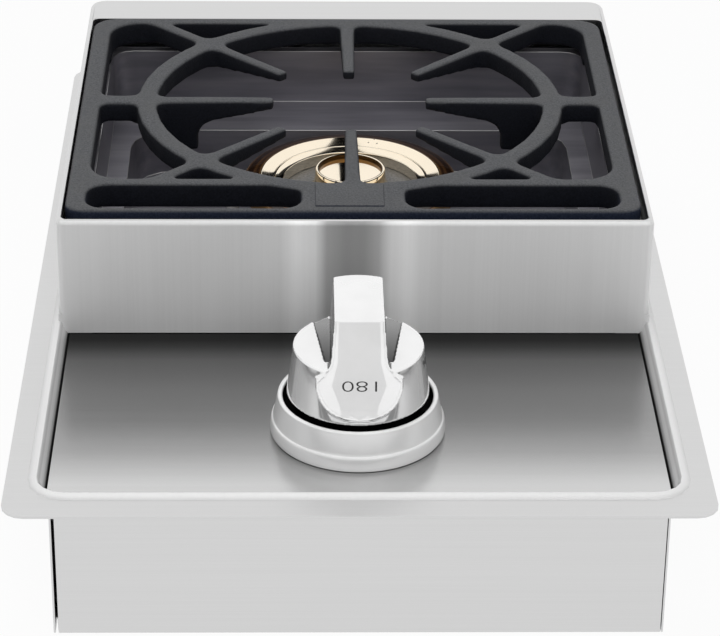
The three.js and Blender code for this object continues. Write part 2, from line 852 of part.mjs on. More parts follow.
// The fillets where a web ends on a straight edge of the frame
function edgeFillets(turn, width) {
  const { facing, reach } = edgeAt(turn);
  return [-1, 1].map((side) => {
    const shift = (side * width) / 2 / Math.cos(turn - facing);
    const x = grateX + reach * Math.cos(turn) - shift * Math.sin(facing);
    const y = burnerY + reach * Math.sin(turn) + shift * Math.cos(facing);
    const alongWeb = turn + Math.PI;
    const alongEdge = facing + (side * Math.PI) / 2;
    return fillet(x, y, alongWeb, alongEdge, cornerRadius(alongWeb, alongEdge), ringUnder, grateTopZ);
  });
}

const grateOutline = outline(level(grateHalf, grateY0, grateY1, 0, grateFrontCorner, grateRearCorner)
  .map(([x, y]) => [x + grateX, y]));
const slots = [-1, 1].map((side) => {
  const inner = grateX + (side * bossWidth) / 2;
  const outer = side < 0 ? openLeft - seat : openRight + seat;
  const plan = roundedPlan(Math.min(inner, outer), Math.max(inner, outer),
    grateY0 + slotSet, grateY0 + slotSet + slotDepth, slotCorner);
  return slab(plan, railUnder - overrun, grateTopZ + overrun, 3);
});

function grateFrame() {
  const opening = slab(roundedPlan(openLeft, openRight, openFront, openRear, openingCorner),
    railUnder - overrun, grateTopZ + overrun, 4);
  return cut(slab(grateOutline, railUnder, grateTopZ), opening, ...slots);
}

// Left and right: one web each, with the fork that hangs into the liner, the ring and the bridge
const grateWebs = [];
const legInner = ringRadius - legSet;
const legOuter = legInner + legWidth;
for (const turn of [0, Math.PI]) {
  const rail = edgeAt(turn).reach + railWidth / 2;
  const legUnder = grateTopZ - legDrop;
  const plan = [
    [sideTip, -fingerTipWidth / 2], [ringRadius, -fingerWidth / 2], [ringOuter, -bridgeWidth / 2],
    [rail, -bridgeWidth / 2], [rail, bridgeWidth / 2], [ringOuter, bridgeWidth / 2],
    [ringRadius, fingerWidth / 2], [sideTip, fingerTipWidth / 2],
  ];
  const profile = [
    [sideTip, grateTopZ], [sideTip, tipUnder], [legInner - legBend, ringUnder],
    [legInner - legEase, ringUnder - legEase], [legInner, ringUnder - legBend],
    [legInner, legUnder], [legOuter, legUnder], [legOuter, ringUnder - legBend],
    [legOuter + legEase, ringUnder - legEase], [legOuter + legBend, ringUnder],
    [rail, ringUnder], [rail, grateTopZ],
  ];
  grateWebs.push(web(plan, profile, turn), ...webFillets(turn, fingerWidth, ringRadius, false));
  grateWebs.push(...webFillets(turn, bridgeWidth, ringOuter, true), ...edgeFillets(turn, bridgeWidth));
}

// Front and rear: a finger that grows out of the ring
for (const turn of [Math.PI / 2, 1.5 * Math.PI]) {
  const root = ringRadius + ringWidth / 2;
  const profile = [[endTip, grateTopZ], [endTip, tipUnder], [ringRadius, ringUnder], [root, ringUnder],
    [root, grateTopZ]];
  grateWebs.push(web(taperPlan(endTip, fingerTipWidth, root, fingerWidth), profile, turn));
  grateWebs.push(...webFillets(turn, fingerWidth, ringRadius, false));
}

// Diagonals: from inside the ring, through it, to the frame
for (const quarter of [0, 1, 2, 3]) {
  const turn = Math.PI / 4 + (quarter * Math.PI) / 2;
  const root = edgeAt(turn).reach + diagonalWidth / 2 + seat;
  const arch = [[diagonalTip, grateTopZ], [diagonalTip, tipUnder], [ringRadius, ringUnder],
    [root, ringUnder], [root, grateTopZ]];
  grateWebs.push(web(taperPlan(diagonalTip, fingerTipWidth, root, diagonalWidth), arch, turn));
  grateWebs.push(...webFillets(turn, diagonalWidth, ringRadius, false));
  grateWebs.push(...webFillets(turn, diagonalWidth, ringOuter, true), ...edgeFillets(turn, diagonalWidth));
}

const ringDisc = round(ringOuter, ringUnder, grateTopZ, largeSteps, grateX, burnerY);
const ringHole = round(ringRadius, railUnder - overrun, grateTopZ + overrun, largeSteps, grateX, burnerY);

const feet = [];
for (const side of [-1, 1]) {
  for (const y of [grateY0 + grateFrontCorner, grateY1 - grateRearCorner - footLength]) {
    const inner = grateX + side * (grateHalf - railWidth);
    const outer = grateX + side * (grateHalf - footInset);
    feet.push(block(Math.min(inner, outer), Math.max(inner, outer), y, y + footLength,
      linerTopZ + seat, railUnder + seat));
  }
}

const grateBlank = fuse(cut(fuse(grateFrame(), ringDisc), ringHole), ...grateWebs);
const grateSpace = slab(grateOutline, grateTopZ - legDrop - overrun, grateTopZ + overrun);
place('grate', fuse(grateBlank.intersect(grateSpace), ...feet), castIron);

// Burner base: bowl with two chambers on a closed neck that takes the mixing tube
const baseZ = pitZ + seat;
const bowlFloor = baseZ + footHeight + bowlWall;
const rimZ = baseZ + bowlRim;
const deckZ = baseZ + deckHeight;
const deckRadius = capRadius - deckInset;
const bowlRadius = capRadius - bowlInset;
const bowlFootRadius = bowlRadius - bowlTaper;
const footRadius = bowlFootRadius + footFlare;
const rimInner = bowlRadius - bowlRimWidth;
const neckBottom = baseZ - neckDrop;
const shoulderZ = rimZ - bowlRimWidth;
const chamberInner = deckRadius - chamberWall;
const baseProfile = [
  [0, neckBottom], [neckRadius, neckBottom], [neckRadius, baseZ], [footRadius, baseZ],
  [footRadius, baseZ + footHeight], [bowlFootRadius, baseZ + footHeight], [bowlRadius, shoulderZ],
  [bowlRadius, rimZ], [rimInner, rimZ], [rimInner, shoulderZ], [bowlFootRadius - bowlWall, bowlFloor],
  [deckRadius, bowlFloor], [deckRadius, deckZ], [deckHole, deckZ], [deckHole, deckZ - deckSheet],
  [chamberInner, deckZ - deckSheet], [chamberInner, bowlFloor],
  [neckRadius - neckWall, bowlFloor - bowlWall], [neckRadius - neckWall, neckBottom + neckWall],
  [0, neckBottom + neckWall],
];
const chamberWindows = spokes(windowCount, chamberInner - overrun, deckRadius + overrun, windowWidth,
  bowlFloor + bowlWall, deckZ - deckSheet - bowlWall, 0, burnerY);
const tubeOuter = tubeBore + tubeWall;
const tubePort = lyingRound(tubeOuter + seat, burnerY - neckRadius - overrun,
  burnerY - neckRadius + neckWall + tubeWall + tubeOuter / 2, shaftSteps, 0, gasZ);
place('burner_base', cut(turned(baseProfile, capSteps, 0, burnerY), ...chamberWindows, tubePort), castAlloy);

// Outer cap ring, polished, with a row of flame ports round its edge
const capZ = rimZ + seat;
const capSkirt = rimInner - seat;
const capInner = deckRadius - capLap;
const capGrooveRadius = capRadius - capGrooveInset;
const capEdge = new THREE.QuadraticBezierCurve(
  new THREE.Vector2(capRadius, capZ - capLip + capLipHeight),
  new THREE.Vector2(capRadius - capSlopeInset / 2, capZ + capSlopeHeight),
  new THREE.Vector2(capRadius - capCrestInset, capZ + capHeight),
);
const capProfile = [
  [capRadius - capWall, capZ - capLip], [capRadius, capZ - capLip],
  ...capEdge.getPoints(3).map((p) => [p.x, p.y]),
  [capGrooveRadius, capZ + capGrooveHeight],
  [capGrooveRadius - capLip, capZ + capGrooveHeight + capGrooveEase],
  [capRadius - capInnerInset, capZ + capInnerHeight], [capInner, capZ + capInnerHeight - capLip / 2],
  [capInner, deckZ + seat], [capInner + capWall, deckZ + seat], [capInner + capWall, capZ],
  [capSkirt - capWall / 2, capZ + capWall], [capSkirt - capWall / 2, capZ - capWall],
  [capSkirt, capZ - capWall], [capSkirt, capZ], [capRadius - capWall, capZ],
];
const capPorts = spokes(portCount, capSkirt - capWall, capRadius + overrun, portWidth,
  capZ, capZ + portHeight, 0, burnerY);
place('burner_ring_cap', cut(ringTurned(capProfile, capSteps, 0, burnerY), ...capPorts), brass);

// Centre cap: dished cup on a spigot in the deck's hole
const cupZ = deckZ + seat;
const cupTop = cupZ + cupHeight;
const cupProfile = [
  [0, cupZ - spigotDrop], [spigotRadius, cupZ - spigotDrop], [spigotRadius, cupTop - cupDish - cupPlate],
  [cupSkirtRadius - cupWall, cupTop - cupDish - cupPlate], [cupSkirtRadius - cupWall, cupZ],
  [cupSkirtRadius, cupZ], [cupSkirtRadius, cupZ + cupSkirtHeight],
  [cupRadius + cupRim, cupZ + cupSkirtHeight + cupWall], [cupRadius, cupTop - cupRim / 2],
  [cupRadius - cupRim / 2, cupTop], [cupRadius - cupRimWidth, cupTop],
  [cupRadius - cupRimWidth - cupRimSlope, cupTop - cupDish], [0, cupTop - cupDish],
];
const cupPorts = spokes(cupPortCount, cupSkirtRadius - cupWall - overrun, cupSkirtRadius + overrun, portWidth,
  cupZ - overrun, cupZ + portHeight, 0, burnerY);
place('burner_center_cap', cut(turned(cupProfile, capSteps, 0, burnerY), ...cupPorts), brass);

// Mixing tube: mouth with air windows, throat, and the run into the burner's neck
const tubeY1 = burnerY - neckRadius + tubeEntry;
const tubeY0 = holderY1 + spudReach;
const mouthOuter = mouthBore + tubeWall;
const mouthEnd = tubeY0 + mouthLength;
const throatY = mouthEnd + mouthBore;
const spudHole = spudRadius + spudGap;
const tubeProfile = [
  [spudHole, tubeY0], [mouthOuter, tubeY0], [mouthOuter, mouthEnd], [tubeThroat + tubeWall, throatY],
  [tubeOuter, tubeY1], [tubeBore, tubeY1], [tubeThroat, throatY], [mouthBore, mouthEnd],
  [mouthBore, tubeY0 + mouthPlate], [spudHole, tubeY0 + mouthPlate], [spudHole, tubeY0],
];
const airY = tubeY0 + mouthPlate + airWindowSet;
const airWindow = block(-mouthOuter - overrun, mouthOuter + overrun, airY, airY + airWindowLength,
  gasZ - airWindowWidth / 2, gasZ + airWindowWidth / 2);
place('mixing_tube', cut(lying(tubeProfile, shaftSteps, 0, gasZ), airWindow), castAlloy);

// Air shutter: a sleeve that turns on the mouth, locked by a screw underneath
const shutterBore = mouthOuter + runningGap;
const shutterOuter = shutterBore + shutterWall;
const shutterY1 = tubeY0 + mouthPlate / 2 + shutterLength;
const shutterProfile = [
  [shutterBore, shutterY1 - shutterLength], [shutterOuter, shutterY1 - shutterLength],
  [shutterOuter, shutterY1], [shutterBore, shutterY1], [shutterBore, shutterY1 - shutterLength],
];
const shutterWindow = block(-shutterOuter - overrun, shutterOuter + overrun, airY, airY + airWindowLength,
  gasZ - airWindowWidth / 2, gasZ + airWindowWidth / 2);
const shutterMiddle = shutterY1 - shutterLength / 2;
const shutterScrewTop = gasZ - mouthOuter - seat;
const shutterHole = round(screwRadius + seat, gasZ - shutterOuter - overrun, gasZ, barSteps,
  0, shutterMiddle);
place('air_shutter', cut(lying(shutterProfile, shaftSteps, 0, gasZ), shutterWindow, shutterHole), plated);
const shutterHeadTop = gasZ - shutterOuter - seat;
place('shutter_screw', fuse(
  round(screwRadius, shutterHeadTop - seat, shutterScrewTop, screwSteps, 0, shutterMiddle),
  round(screwHeadRadius, shutterHeadTop - screwHeadHeight, shutterHeadTop, screwSteps, 0, shutterMiddle),
), plated);

// Heat shield between the knob's compartment and the burner's
const shieldTop = trayUnder - seat;
const shieldHalf = boxHalf - panelSheet - cornerSeam;
const shieldNarrow = boxHalf - panelSheet - panelLip - cornerSeam;
const leadZ = trayUnder - seat - moduleHeight + leadSet;
const shieldHoles = [[0, gasZ, holderNeck + seat], [inletSet, gasZ, inletRadius + seat],
  [-electrodeSet, leadZ, leadRadius + seat]];
const shieldBlank = fuse(
  block(-shieldHalf, shieldHalf, shieldY, shieldY + sheet, bottomTop + seat, sideTop - panelSheet - seat),
  block(-shieldNarrow, shieldNarrow, shieldY, shieldY + sheet, gasZ, shieldTop),
  block(-shieldNarrow, shieldNarrow, shieldY - shieldFlange, shieldY + sheet, shieldTop - sheet, shieldTop),
);
place('heat_shield', cut(shieldBlank, ...shieldHoles.map(([x, z, radius]) => lyingRound(radius,
  shieldY - overrun, shieldY + sheet + overrun, shaftSteps, x, z))), plated);

// Strap that carries the mixing tube over the bottom pan
const strapY = tubeY1 - strapBack;
const strapCut = lyingRound(tubeOuter + seat, strapY - overrun, strapY + bracketSheet + overrun,
  shaftSteps, 0, gasZ);
place('burner_bracket', cut(fuse(
  block(-strapWidth / 2, strapWidth / 2, strapY, strapY + bracketSheet, bottomTop + seat, gasZ),
  block(-strapWidth / 2, strapWidth / 2, strapY, strapY + strapFoot, bottomTop + seat,
    bottomTop + seat + bracketSheet),
), strapCut), plated);

// Orifice holder through the shield, its spud in the mouth of the mixing tube
const spudEnd = tubeY0 + mouthPlate;
const holderFront = shieldY - holderNeck;
const holderBlank = fuse(
  frontSlab(hexagon(holderHex, 0, gasZ), holderY0, holderY1),
  lyingRound(holderNeck, holderFront, holderY0 + seat, shaftSteps, 0, gasZ),
  lyingRound(spudRadius, holderY1 - seat, spudEnd, shaftSteps, 0, gasZ),
);
place('orifice_holder', cut(holderBlank,
  lyingRound(feedRadius + seat, holderFront - overrun, holderY0 + holderLength / 2, shaftSteps, 0, gasZ),
  lyingRound(spudBore, holderY0, spudEnd + overrun, screwSteps, 0, gasZ)), brass);

// Feed tube from the valve to the holder
const feedY0 = knobY + bossReach - holderNeck;
const feedY1 = holderY0 + holderLength / 2 - seat;
place('feed_tube', lying([
  [feedRadius - feedWall, feedY0], [feedRadius, feedY0], [feedRadius, feedY1],
  [feedRadius - feedWall, feedY1], [feedRadius - feedWall, feedY0],
], shaftSteps, 0, gasZ), castAlloy);

// Valve bracket: a hat section hung under the tray
const footTop = trayUnder - seat;
const plateTop = footTop - bracketDrop;
const plateUnder = plateTop - bracketSheet;
const hatOuter = bracketWidth / 2;
const hatInner = hatOuter - bracketFoot;
const hatSide = [
  [hatOuter, footTop - bracketSheet], [hatOuter, footTop], [hatInner - bracketSheet, footTop],
  [hatInner - bracketSheet, plateTop],
];
const hatUnder = [[hatInner, plateUnder], [hatInner, footTop - bracketSheet]];
const mirrored = (points) => points.map(([x, z]) => [-x, z]).reverse();
const hat = outline([...hatUnder, ...hatSide, ...mirrored(hatSide), ...mirrored(hatUnder)]);
const neckHole = round(bonnetNeckRadius + seat, plateUnder - overrun, plateTop + overrun, holeSteps,
  0, knobY);
const bonnetScrews = [-bonnetScrewSet, bonnetScrewSet];
const bonnetScrewFoot = plateUnder - 2 * (seat + bonnetHeight);
const bonnetScrewHoles = bonnetScrews.map((x) => round(screwRadius + seat, bonnetScrewFoot - overrun,
  plateTop + overrun, screwSteps, x, knobY));
place('valve_bracket', cut(
  frontSlab(hat, knobY - bracketDepth / 2, knobY + bracketDepth / 2), neckHole, ...bonnetScrewHoles,
), plated);

// Valve: body with two bosses, bonnet with the neck, taper plug and stem
const bonnetTop = plateUnder - seat;
const bonnetUnder = bonnetTop - bonnetHeight;
const valveTop = bonnetUnder - seat;
const valveBottom = valveTop - valveHeight;
const bonnetPlan = () => roundedPlan(-bonnetWidth / 2, bonnetWidth / 2,
  knobY - bonnetDepth / 2, knobY + bonnetDepth / 2, bonnetCorner);
const plugTop = valveTop - seat;
const plugBottom = plugTop - plugHeight;
const plugSmall = plugRadius - plugTaper;
const valveBlank = fuse(
  round(valveRadius, valveBottom, valveTop, capSteps, 0, knobY),
  slab(bonnetPlan(), valveTop - bonnetHeight, valveTop, 2),
  acrossRound(bossRadius, 0, bossReach, shaftSteps, knobY, gasZ),
  lyingRound(bossRadius, knobY, knobY + bossReach, shaftSteps, 0, gasZ),
);
const plugSeat = turned([
  [0, plugBottom - seat], [plugSmall + runningGap, plugBottom - seat],
  [plugRadius + runningGap, plugTop], [plugRadius + runningGap, valveTop + overrun], [0, valveTop + overrun],
], shaftSteps, 0, knobY);
place('gas_valve_body', cut(valveBlank, plugSeat,
  acrossRound(inletRadius + seat, bossReach - holderNeck - seat, bossReach + overrun, shaftSteps,
    knobY, gasZ),
  acrossRound(plugBore, 0, bossReach, screwSteps, knobY, gasZ),
  lyingRound(feedRadius + seat, feedY0 - seat, knobY + bossReach + overrun, shaftSteps, 0, gasZ),
  lyingRound(plugBore, knobY, knobY + bossReach, screwSteps, 0, gasZ),
  ...bonnetScrewHoles), castAlloy);

const stemBore = stemRadius + runningGap;
const bonnetBlank = fuse(
  slab(bonnetPlan(), bonnetUnder, bonnetTop, 2),
  round(bonnetNeckRadius, bonnetTop - seat, bonnetTop + bonnetNeckHeight, shaftSteps, 0, knobY),
);
const bonnetBore = round(stemBore, bonnetUnder - overrun, bonnetTop + bonnetNeckHeight + overrun,
  shaftSteps, 0, knobY);
place('valve_bonnet', cut(bonnetBlank, bonnetBore, ...bonnetScrewHoles), castAlloy);

// A round bore or shaft with one flat side
function flatted(radius, flat, z0, z1) {
  const shaft = round(radius, z0, z1, shaftSteps, 0, knobY);
  const side = block(flat, radius + overrun, knobY - radius - overrun, knobY + radius + overrun,
    z0 - overrun, z1 + overrun);
  return cut(shaft, side);
}

const flatSet = stemRadius - stemFlat;
const socketBottom = plugTop - socketDepth;
const plugProfile = [[0, plugBottom], [plugSmall, plugBottom], [plugRadius, plugTop], [0, plugTop]];
const plugWay = spoke(-plugRadius - overrun, plugRadius + overrun, plugBore + plugBore,
  gasZ - plugBore, gasZ + plugBore, Math.PI / 4, 0, knobY);
place('valve_plug', cut(
  turned(plugProfile, shaftSteps, 0, knobY),
  flatted(stemBore, flatSet + runningGap, socketBottom, plugTop + overrun), plugWay,
), brass);

const stemBottom = plugTop - stemEntry;
const stemTopZ = flangeTop + stemTop;
const stemNeckTop = bonnetTop + bonnetNeckHeight;
const stemRound = plugTop + pushTravel + seat;
place('valve_stem', fuse(
  flatted(stemRadius, flatSet, stemBottom, stemRound),
  round(stemRadius, stemRound, stemNeckTop + pushTravel, shaftSteps, 0, knobY),
  flatted(stemRadius, flatSet, stemNeckTop + pushTravel, stemTopZ),
), brass);

place('valve_locknut', cut(
  slab(hexagon(nutHex, 0, knobY), plateTop + seat, plateTop + seat + nutHeight),
  round(bonnetNeckRadius + seat, plateTop - overrun, plateTop + nutHeight + overrun, holeSteps, 0, knobY),
), brass);

const screwTop = plateTop + seat;
bonnetScrews.forEach((x, i) => place(`bonnet_screw_${i + 1}`, fuse(
  round(screwRadius, bonnetScrewFoot, screwTop + seat, screwSteps, x, knobY),
  round(screwHeadRadius, screwTop, screwTop + screwHeadHeight, screwSteps, x, knobY),
), plated));

// Inlet pipe from the rear fitting to the valve, and the fitting with its locknut
const pipeX0 = bossReach - holderNeck;
const fittingY0 = boxRear - panelSheet - seat - fittingHexLength;
const pipeEnd = fittingY0 + fittingHexLength / 2;
const pipeRoute = [[pipeX0, knobY, gasZ], [inletSet, knobY, gasZ], [inletSet, pipeEnd, gasZ]];
const boreRoute = [
  [pipeX0 - overrun, knobY, gasZ], [inletSet, knobY, gasZ], [inletSet, pipeEnd + overrun, gasZ],
];
place('inlet_pipe', cut(
  bentBar(pipeRoute, inletBend, inletRadius, barSteps),
  bentBar(boreRoute, inletBend, inletRadius - inletWall, barSteps),
), castAlloy);
const fittingBlank = fuse(
  frontSlab(hexagon(fittingHex, inletSet, gasZ), fittingY0, fittingY0 + fittingHexLength),
  lyingRound(fittingRadius, fittingY0, boxRear + fittingReach, holeSteps, inletSet, gasZ),
);
place('gas_inlet_fitting', cut(fittingBlank,
  lyingRound(inletRadius + seat, fittingY0 - overrun, pipeEnd + seat, shaftSteps, inletSet, gasZ),
  lyingRound(fittingBore, fittingY0, boxRear + fittingReach + overrun, shaftSteps, inletSet, gasZ),
), brass);
place('inlet_locknut', cut(
  frontSlab(hexagon(fittingHex, inletSet, gasZ), boxRear + seat, boxRear + seat + nutHeight),
  lyingRound(fittingRadius + seat, boxRear - overrun, boxRear + nutHeight + overrun, holeSteps,
    inletSet, gasZ),
), brass);

// Screws that hold the bottom pan to the side panels' lips
panScrewPlaces.forEach(([x, y], i) => place(`pan_screw_${i + 1}`, fuse(
  round(screwRadius, seat, bottomTop + seat + seat, screwSteps, x, y),
  round(screwHeadRadius, bottomTop + seat, bottomTop + seat + screwHeadHeight, screwSteps, x, y),
), plated));

// Ignition: ceramic in its plate on the pit floor, wire, lead and module
const plateZ = pitZ + seat;
const collarZ = plateZ + sheet + seat;
place('electrode_bracket', cut(
  block(-electrodeSet - electrodePlate / 2, -electrodeSet + electrodePlateInner,
    burnerY - electrodePlate / 2, burnerY + electrodePlate / 2, plateZ, plateZ + sheet),
  round(ceramicRadius + seat, plateZ - overrun, plateZ + sheet + overrun, shaftSteps, -electrodeSet, burnerY),
), plated);
const ceramicTop = pitZ + ceramicHeight;
const ceramicBottom = pitZ - ceramicDrop;
const wireBore = electrodeRadius + seat;
place('electrode_ceramic', ringTurned([
  [wireBore, ceramicBottom], [ceramicRadius, ceramicBottom], [ceramicRadius, collarZ],
  [ceramicCollar, collarZ], [ceramicCollar, collarZ + ceramicRadius],
  [ceramicRadius, collarZ + ceramicCollar], [ceramicRadius, ceramicTop - seat],
  [ceramicRadius - seat, ceramicTop], [wireBore, ceramicTop],
], barSteps, -electrodeSet, burnerY), ceramic);
const wireTop = ceramicTop + electrodeRise;
const wireEnd = -capRadius - electrodeRise;
place('electrode_tip', bentBar([
  [-electrodeSet, burnerY, ceramicBottom], [-electrodeSet, burnerY, wireTop], [wireEnd, burnerY, wireTop],
], electrodeBend, electrodeRadius, screwSteps, 3), plated);
const moduleY = knobY + moduleBehindKnob;
const moduleRear = moduleY + moduleDepth;
const moduleTop = trayUnder - seat;
place('igniter_lead', bentBar([
  [-electrodeSet, burnerY, ceramicBottom - seat], [-electrodeSet, burnerY, leadZ],
  [-electrodeSet, moduleRear - leadSet / 2, leadZ],
], leadBend, leadRadius, screwSteps), darkPlastic);
const modulePlan = roundedPlan(-electrodeSet - moduleWidth / 2, -electrodeSet + moduleWidth / 2,
  moduleY, moduleRear, moduleCorner);
place('spark_module', cut(
  slab(modulePlan, moduleTop - moduleHeight, moduleTop, 3),
  lyingRound(leadRadius + seat, moduleRear - leadSet, moduleRear + overrun, barSteps, -electrodeSet, leadZ),
), darkPlastic);

// Bezel round the knob, a sloped ring on a wider band, and the dark spacer inside it
const bezelZ = trayTop + seat;
const bezelTop = bezelZ + bezelHeight;
const bezelProfile = [
  [bezelBore, bezelZ], [bezelRadius - bezelEase, bezelZ], [bezelRadius, bezelZ + bezelEase],
  [bezelRadius, bezelZ + bezelBand - bezelStep], [bezelRadius - bezelStep, bezelZ + bezelBand],
  [bezelRimRadius, bezelTop - bezelEase], [bezelRimRadius - bezelEase, bezelTop],
  [bezelBore + bezelEase, bezelTop], [bezelBore, bezelTop - bezelEase],
];
place('knob_bezel', ringTurned(bezelProfile, bezelSteps, 0, knobY), chrome);
place('bezel_spacer', ringTurned([
  [spacerBore, bezelZ], [bezelBore - seat, bezelZ], [bezelBore - seat, bezelZ + spacerHeight],
  [spacerBore, bezelZ + spacerHeight],
], holeSteps, 0, knobY), darkPlastic);

// Knob: hollow skirt with a hub, a tapered grip bar, a shield-shaped nose and a wedge groove each side
const knobBaseZ = flangeTop + knobBase;
const faceZ = flangeTop + knobFace;
const knobTopZ = flangeTop + knobTop;
const hollowZ = faceZ - grooveDepth - knobWall;
const knobSlope = (knobBaseRadius - knobFaceRadius) / (knobFace - knobBase);
const knobRadiusAt = (z) => knobBaseRadius - knobSlope * (z - knobBaseZ);
const skirt = turned([
  [0, hollowZ], [knobRadiusAt(hollowZ) - knobWall, hollowZ], [knobBaseRadius - knobWall, knobBaseZ],
  [knobBaseRadius, knobBaseZ], [knobRadiusAt(faceZ - knobEdge), faceZ - knobEdge],
  [knobFaceRadius - knobEdge, faceZ], [0, faceZ],
], largeSteps, 0, knobY);
const gripTopRadius = knobRadiusAt(knobTopZ);
const gripEnvelope = turned([
  [0, knobBaseZ], [knobBaseRadius, knobBaseZ], [knobRadiusAt(knobTopZ - gripEdge), knobTopZ - gripEdge],
  [gripTopRadius - gripEdge, knobTopZ], [0, knobTopZ],
], largeSteps, 0, knobY);
const gripSection = outline([
  [-gripFootWidth / 2, faceZ - knobWall], [gripFootWidth / 2, faceZ - knobWall],
  [gripWidth / 2, knobTopZ - gripEdge], [gripWidth / 2 - gripEdge, knobTopZ],
  [gripEdge - gripWidth / 2, knobTopZ], [-gripWidth / 2, knobTopZ - gripEdge],
]);
const knobReach = 2 * knobBaseRadius;
const rampShare = (knobTop - knobBase) / rampFall;
const behindRamp = sideSlab(outline([
  [knobY - gripFront, knobTopZ], [knobY - gripFront - rampRun * rampShare, knobBaseZ],
  [knobY + knobReach, knobBaseZ], [knobY + knobReach, knobTopZ],
]), -knobReach, knobReach);
const noseHalf = noseWidth / 2;
const noseSideZ = flangeTop + noseSideHeight;
const noseTipZ = flangeTop + noseTipHeight;
const noseCorner = noseHalf * noseCornerShare;
const noseShape = new THREE.Shape();
noseShape.moveTo(gripWidth / 2, knobTopZ);
noseShape.lineTo(-gripWidth / 2, knobTopZ);
noseShape.lineTo(-gripFootWidth / 2, faceZ + noseShoulder);
noseShape.quadraticCurveTo(-gripFootWidth / 2, faceZ, -noseHalf, faceZ - noseDip);
noseShape.lineTo(-noseHalf, noseSideZ);
noseShape.quadraticCurveTo(-noseCorner, noseTipZ, 0, noseTipZ);
noseShape.quadraticCurveTo(noseCorner, noseTipZ, noseHalf, noseSideZ);
noseShape.lineTo(noseHalf, faceZ - noseDip);
noseShape.quadraticCurveTo(gripFootWidth / 2, faceZ, gripFootWidth / 2, faceZ + noseShoulder);
const noseFront = frontSlab(noseShape, knobY - knobReach, knobY - noseBack, 5);
const grip = frontSlab(gripSection, knobY - knobReach, knobY + knobReach)
  .intersect(gripEnvelope).intersect(behindRamp);
const grooves = [-1, 1].map((side) => {
  const inner = gripFootWidth / 2;
  const nose = knobY - grooveFront + grooveFrontWidth / 2;
  const plan = new THREE.Shape();
  plan.moveTo(side * inner, knobY + grooveRear);
  plan.lineTo(side * inner, nose);
  plan.quadraticCurveTo(side * inner, knobY - grooveFront, side * (inner + grooveFrontWidth / 2),
    knobY - grooveFront);
  plan.quadraticCurveTo(side * (inner + grooveFrontWidth), knobY - grooveFront,
    side * (inner + grooveFrontWidth), nose);
  plan.lineTo(side * (inner + grooveRearWidth), knobY + grooveRear);
  return slab(plan, faceZ - grooveDepth, faceZ + overrun, 4);
});
const hubZ = flangeTop + hubBase;
const knobBlank = fuse(
  cut(skirt, cut(noseFront, behindRamp), ...grooves), grip, noseFront.intersect(behindRamp),
  round(hubRadius, hubZ, hollowZ + seat, holeSteps, 0, knobY),
);
const knobBore = flatted(stemBore, flatSet + runningGap, hubZ - overrun, stemTopZ + seat);
place('knob', cut(knobBlank, knobBore), chrome);

export default part;
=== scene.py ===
# %% [markdown]
# # Dressing a built in side burner
# The solids of this gas burner come from a CAD program. Their places are exact, but their finish is bare.
# This lesson gives them the looks of the real thing: brushed steel, cast iron, polished brass and chrome.
# The solids are loaded first as a fixed frame, and every piece below takes its place and size from them.

# %% Load the frame
import json
import math

import bpy
import numpy as np
from mathutils import Matrix, Vector


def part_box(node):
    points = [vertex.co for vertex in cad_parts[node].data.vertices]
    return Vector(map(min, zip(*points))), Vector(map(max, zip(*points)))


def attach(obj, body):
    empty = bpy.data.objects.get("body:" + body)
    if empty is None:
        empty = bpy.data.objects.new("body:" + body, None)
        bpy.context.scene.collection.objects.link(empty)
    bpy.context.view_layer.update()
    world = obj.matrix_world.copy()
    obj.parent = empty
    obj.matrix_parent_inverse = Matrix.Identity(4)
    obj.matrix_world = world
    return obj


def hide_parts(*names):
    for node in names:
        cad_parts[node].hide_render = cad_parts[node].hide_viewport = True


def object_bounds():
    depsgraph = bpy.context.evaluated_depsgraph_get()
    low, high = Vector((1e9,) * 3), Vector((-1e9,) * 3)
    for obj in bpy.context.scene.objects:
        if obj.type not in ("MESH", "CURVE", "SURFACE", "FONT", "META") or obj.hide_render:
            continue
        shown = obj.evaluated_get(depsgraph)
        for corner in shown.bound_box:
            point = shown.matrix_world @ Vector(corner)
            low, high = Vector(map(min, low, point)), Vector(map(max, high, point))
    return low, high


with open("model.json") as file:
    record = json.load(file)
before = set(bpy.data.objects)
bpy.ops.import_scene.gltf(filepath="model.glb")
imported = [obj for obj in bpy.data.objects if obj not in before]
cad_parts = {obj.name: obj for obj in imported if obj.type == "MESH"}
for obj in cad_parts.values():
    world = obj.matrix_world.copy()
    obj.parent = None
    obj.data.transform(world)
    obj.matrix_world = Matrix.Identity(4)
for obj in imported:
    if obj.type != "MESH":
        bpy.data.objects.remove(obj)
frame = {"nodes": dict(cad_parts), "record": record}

MM = 0.001
cad_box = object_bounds()
print("CAD nodes:", len(frame["nodes"]), "box:", [round(c, 4) for corner in cad_box for c in corner])

# %% [markdown]
# ## The camera
# The burner was photographed from the front with a long lens, looking down at about 28 degrees.
# A long lens keeps the sides nearly parallel, which is why the box looks so square.
# The camera is placed by its three turns, so that they can be read and changed one by one.

# %% Camera
CAMERA_PLACE = (-0.02856, -1.38987, 0.78379)
SENSOR_MM, LENS_MM = 36, 144.79
camera_data = bpy.data.cameras.new("camera")
camera_data.sensor_width = SENSOR_MM
camera_data.lens = LENS_MM
camera = bpy.data.objects.new("camera", camera_data)
bpy.context.scene.collection.objects.link(camera)
look_down, look_aside, lean = (math.radians(a) for a in (28.223, -1.365, -0.686))
camera.matrix_world = (
    Matrix.Translation(CAMERA_PLACE)
    @ Matrix.Rotation(look_aside, 4, "Z")
    @ Matrix.Rotation(math.pi / 2 - look_down, 4, "X")
    @ Matrix.Rotation(-lean, 4, "Z")
)
bpy.context.scene.camera = camera
bpy.context.scene.view_settings.view_transform = "Standard"
print("camera looks down", round(math.degrees(look_down), 1), "degrees")

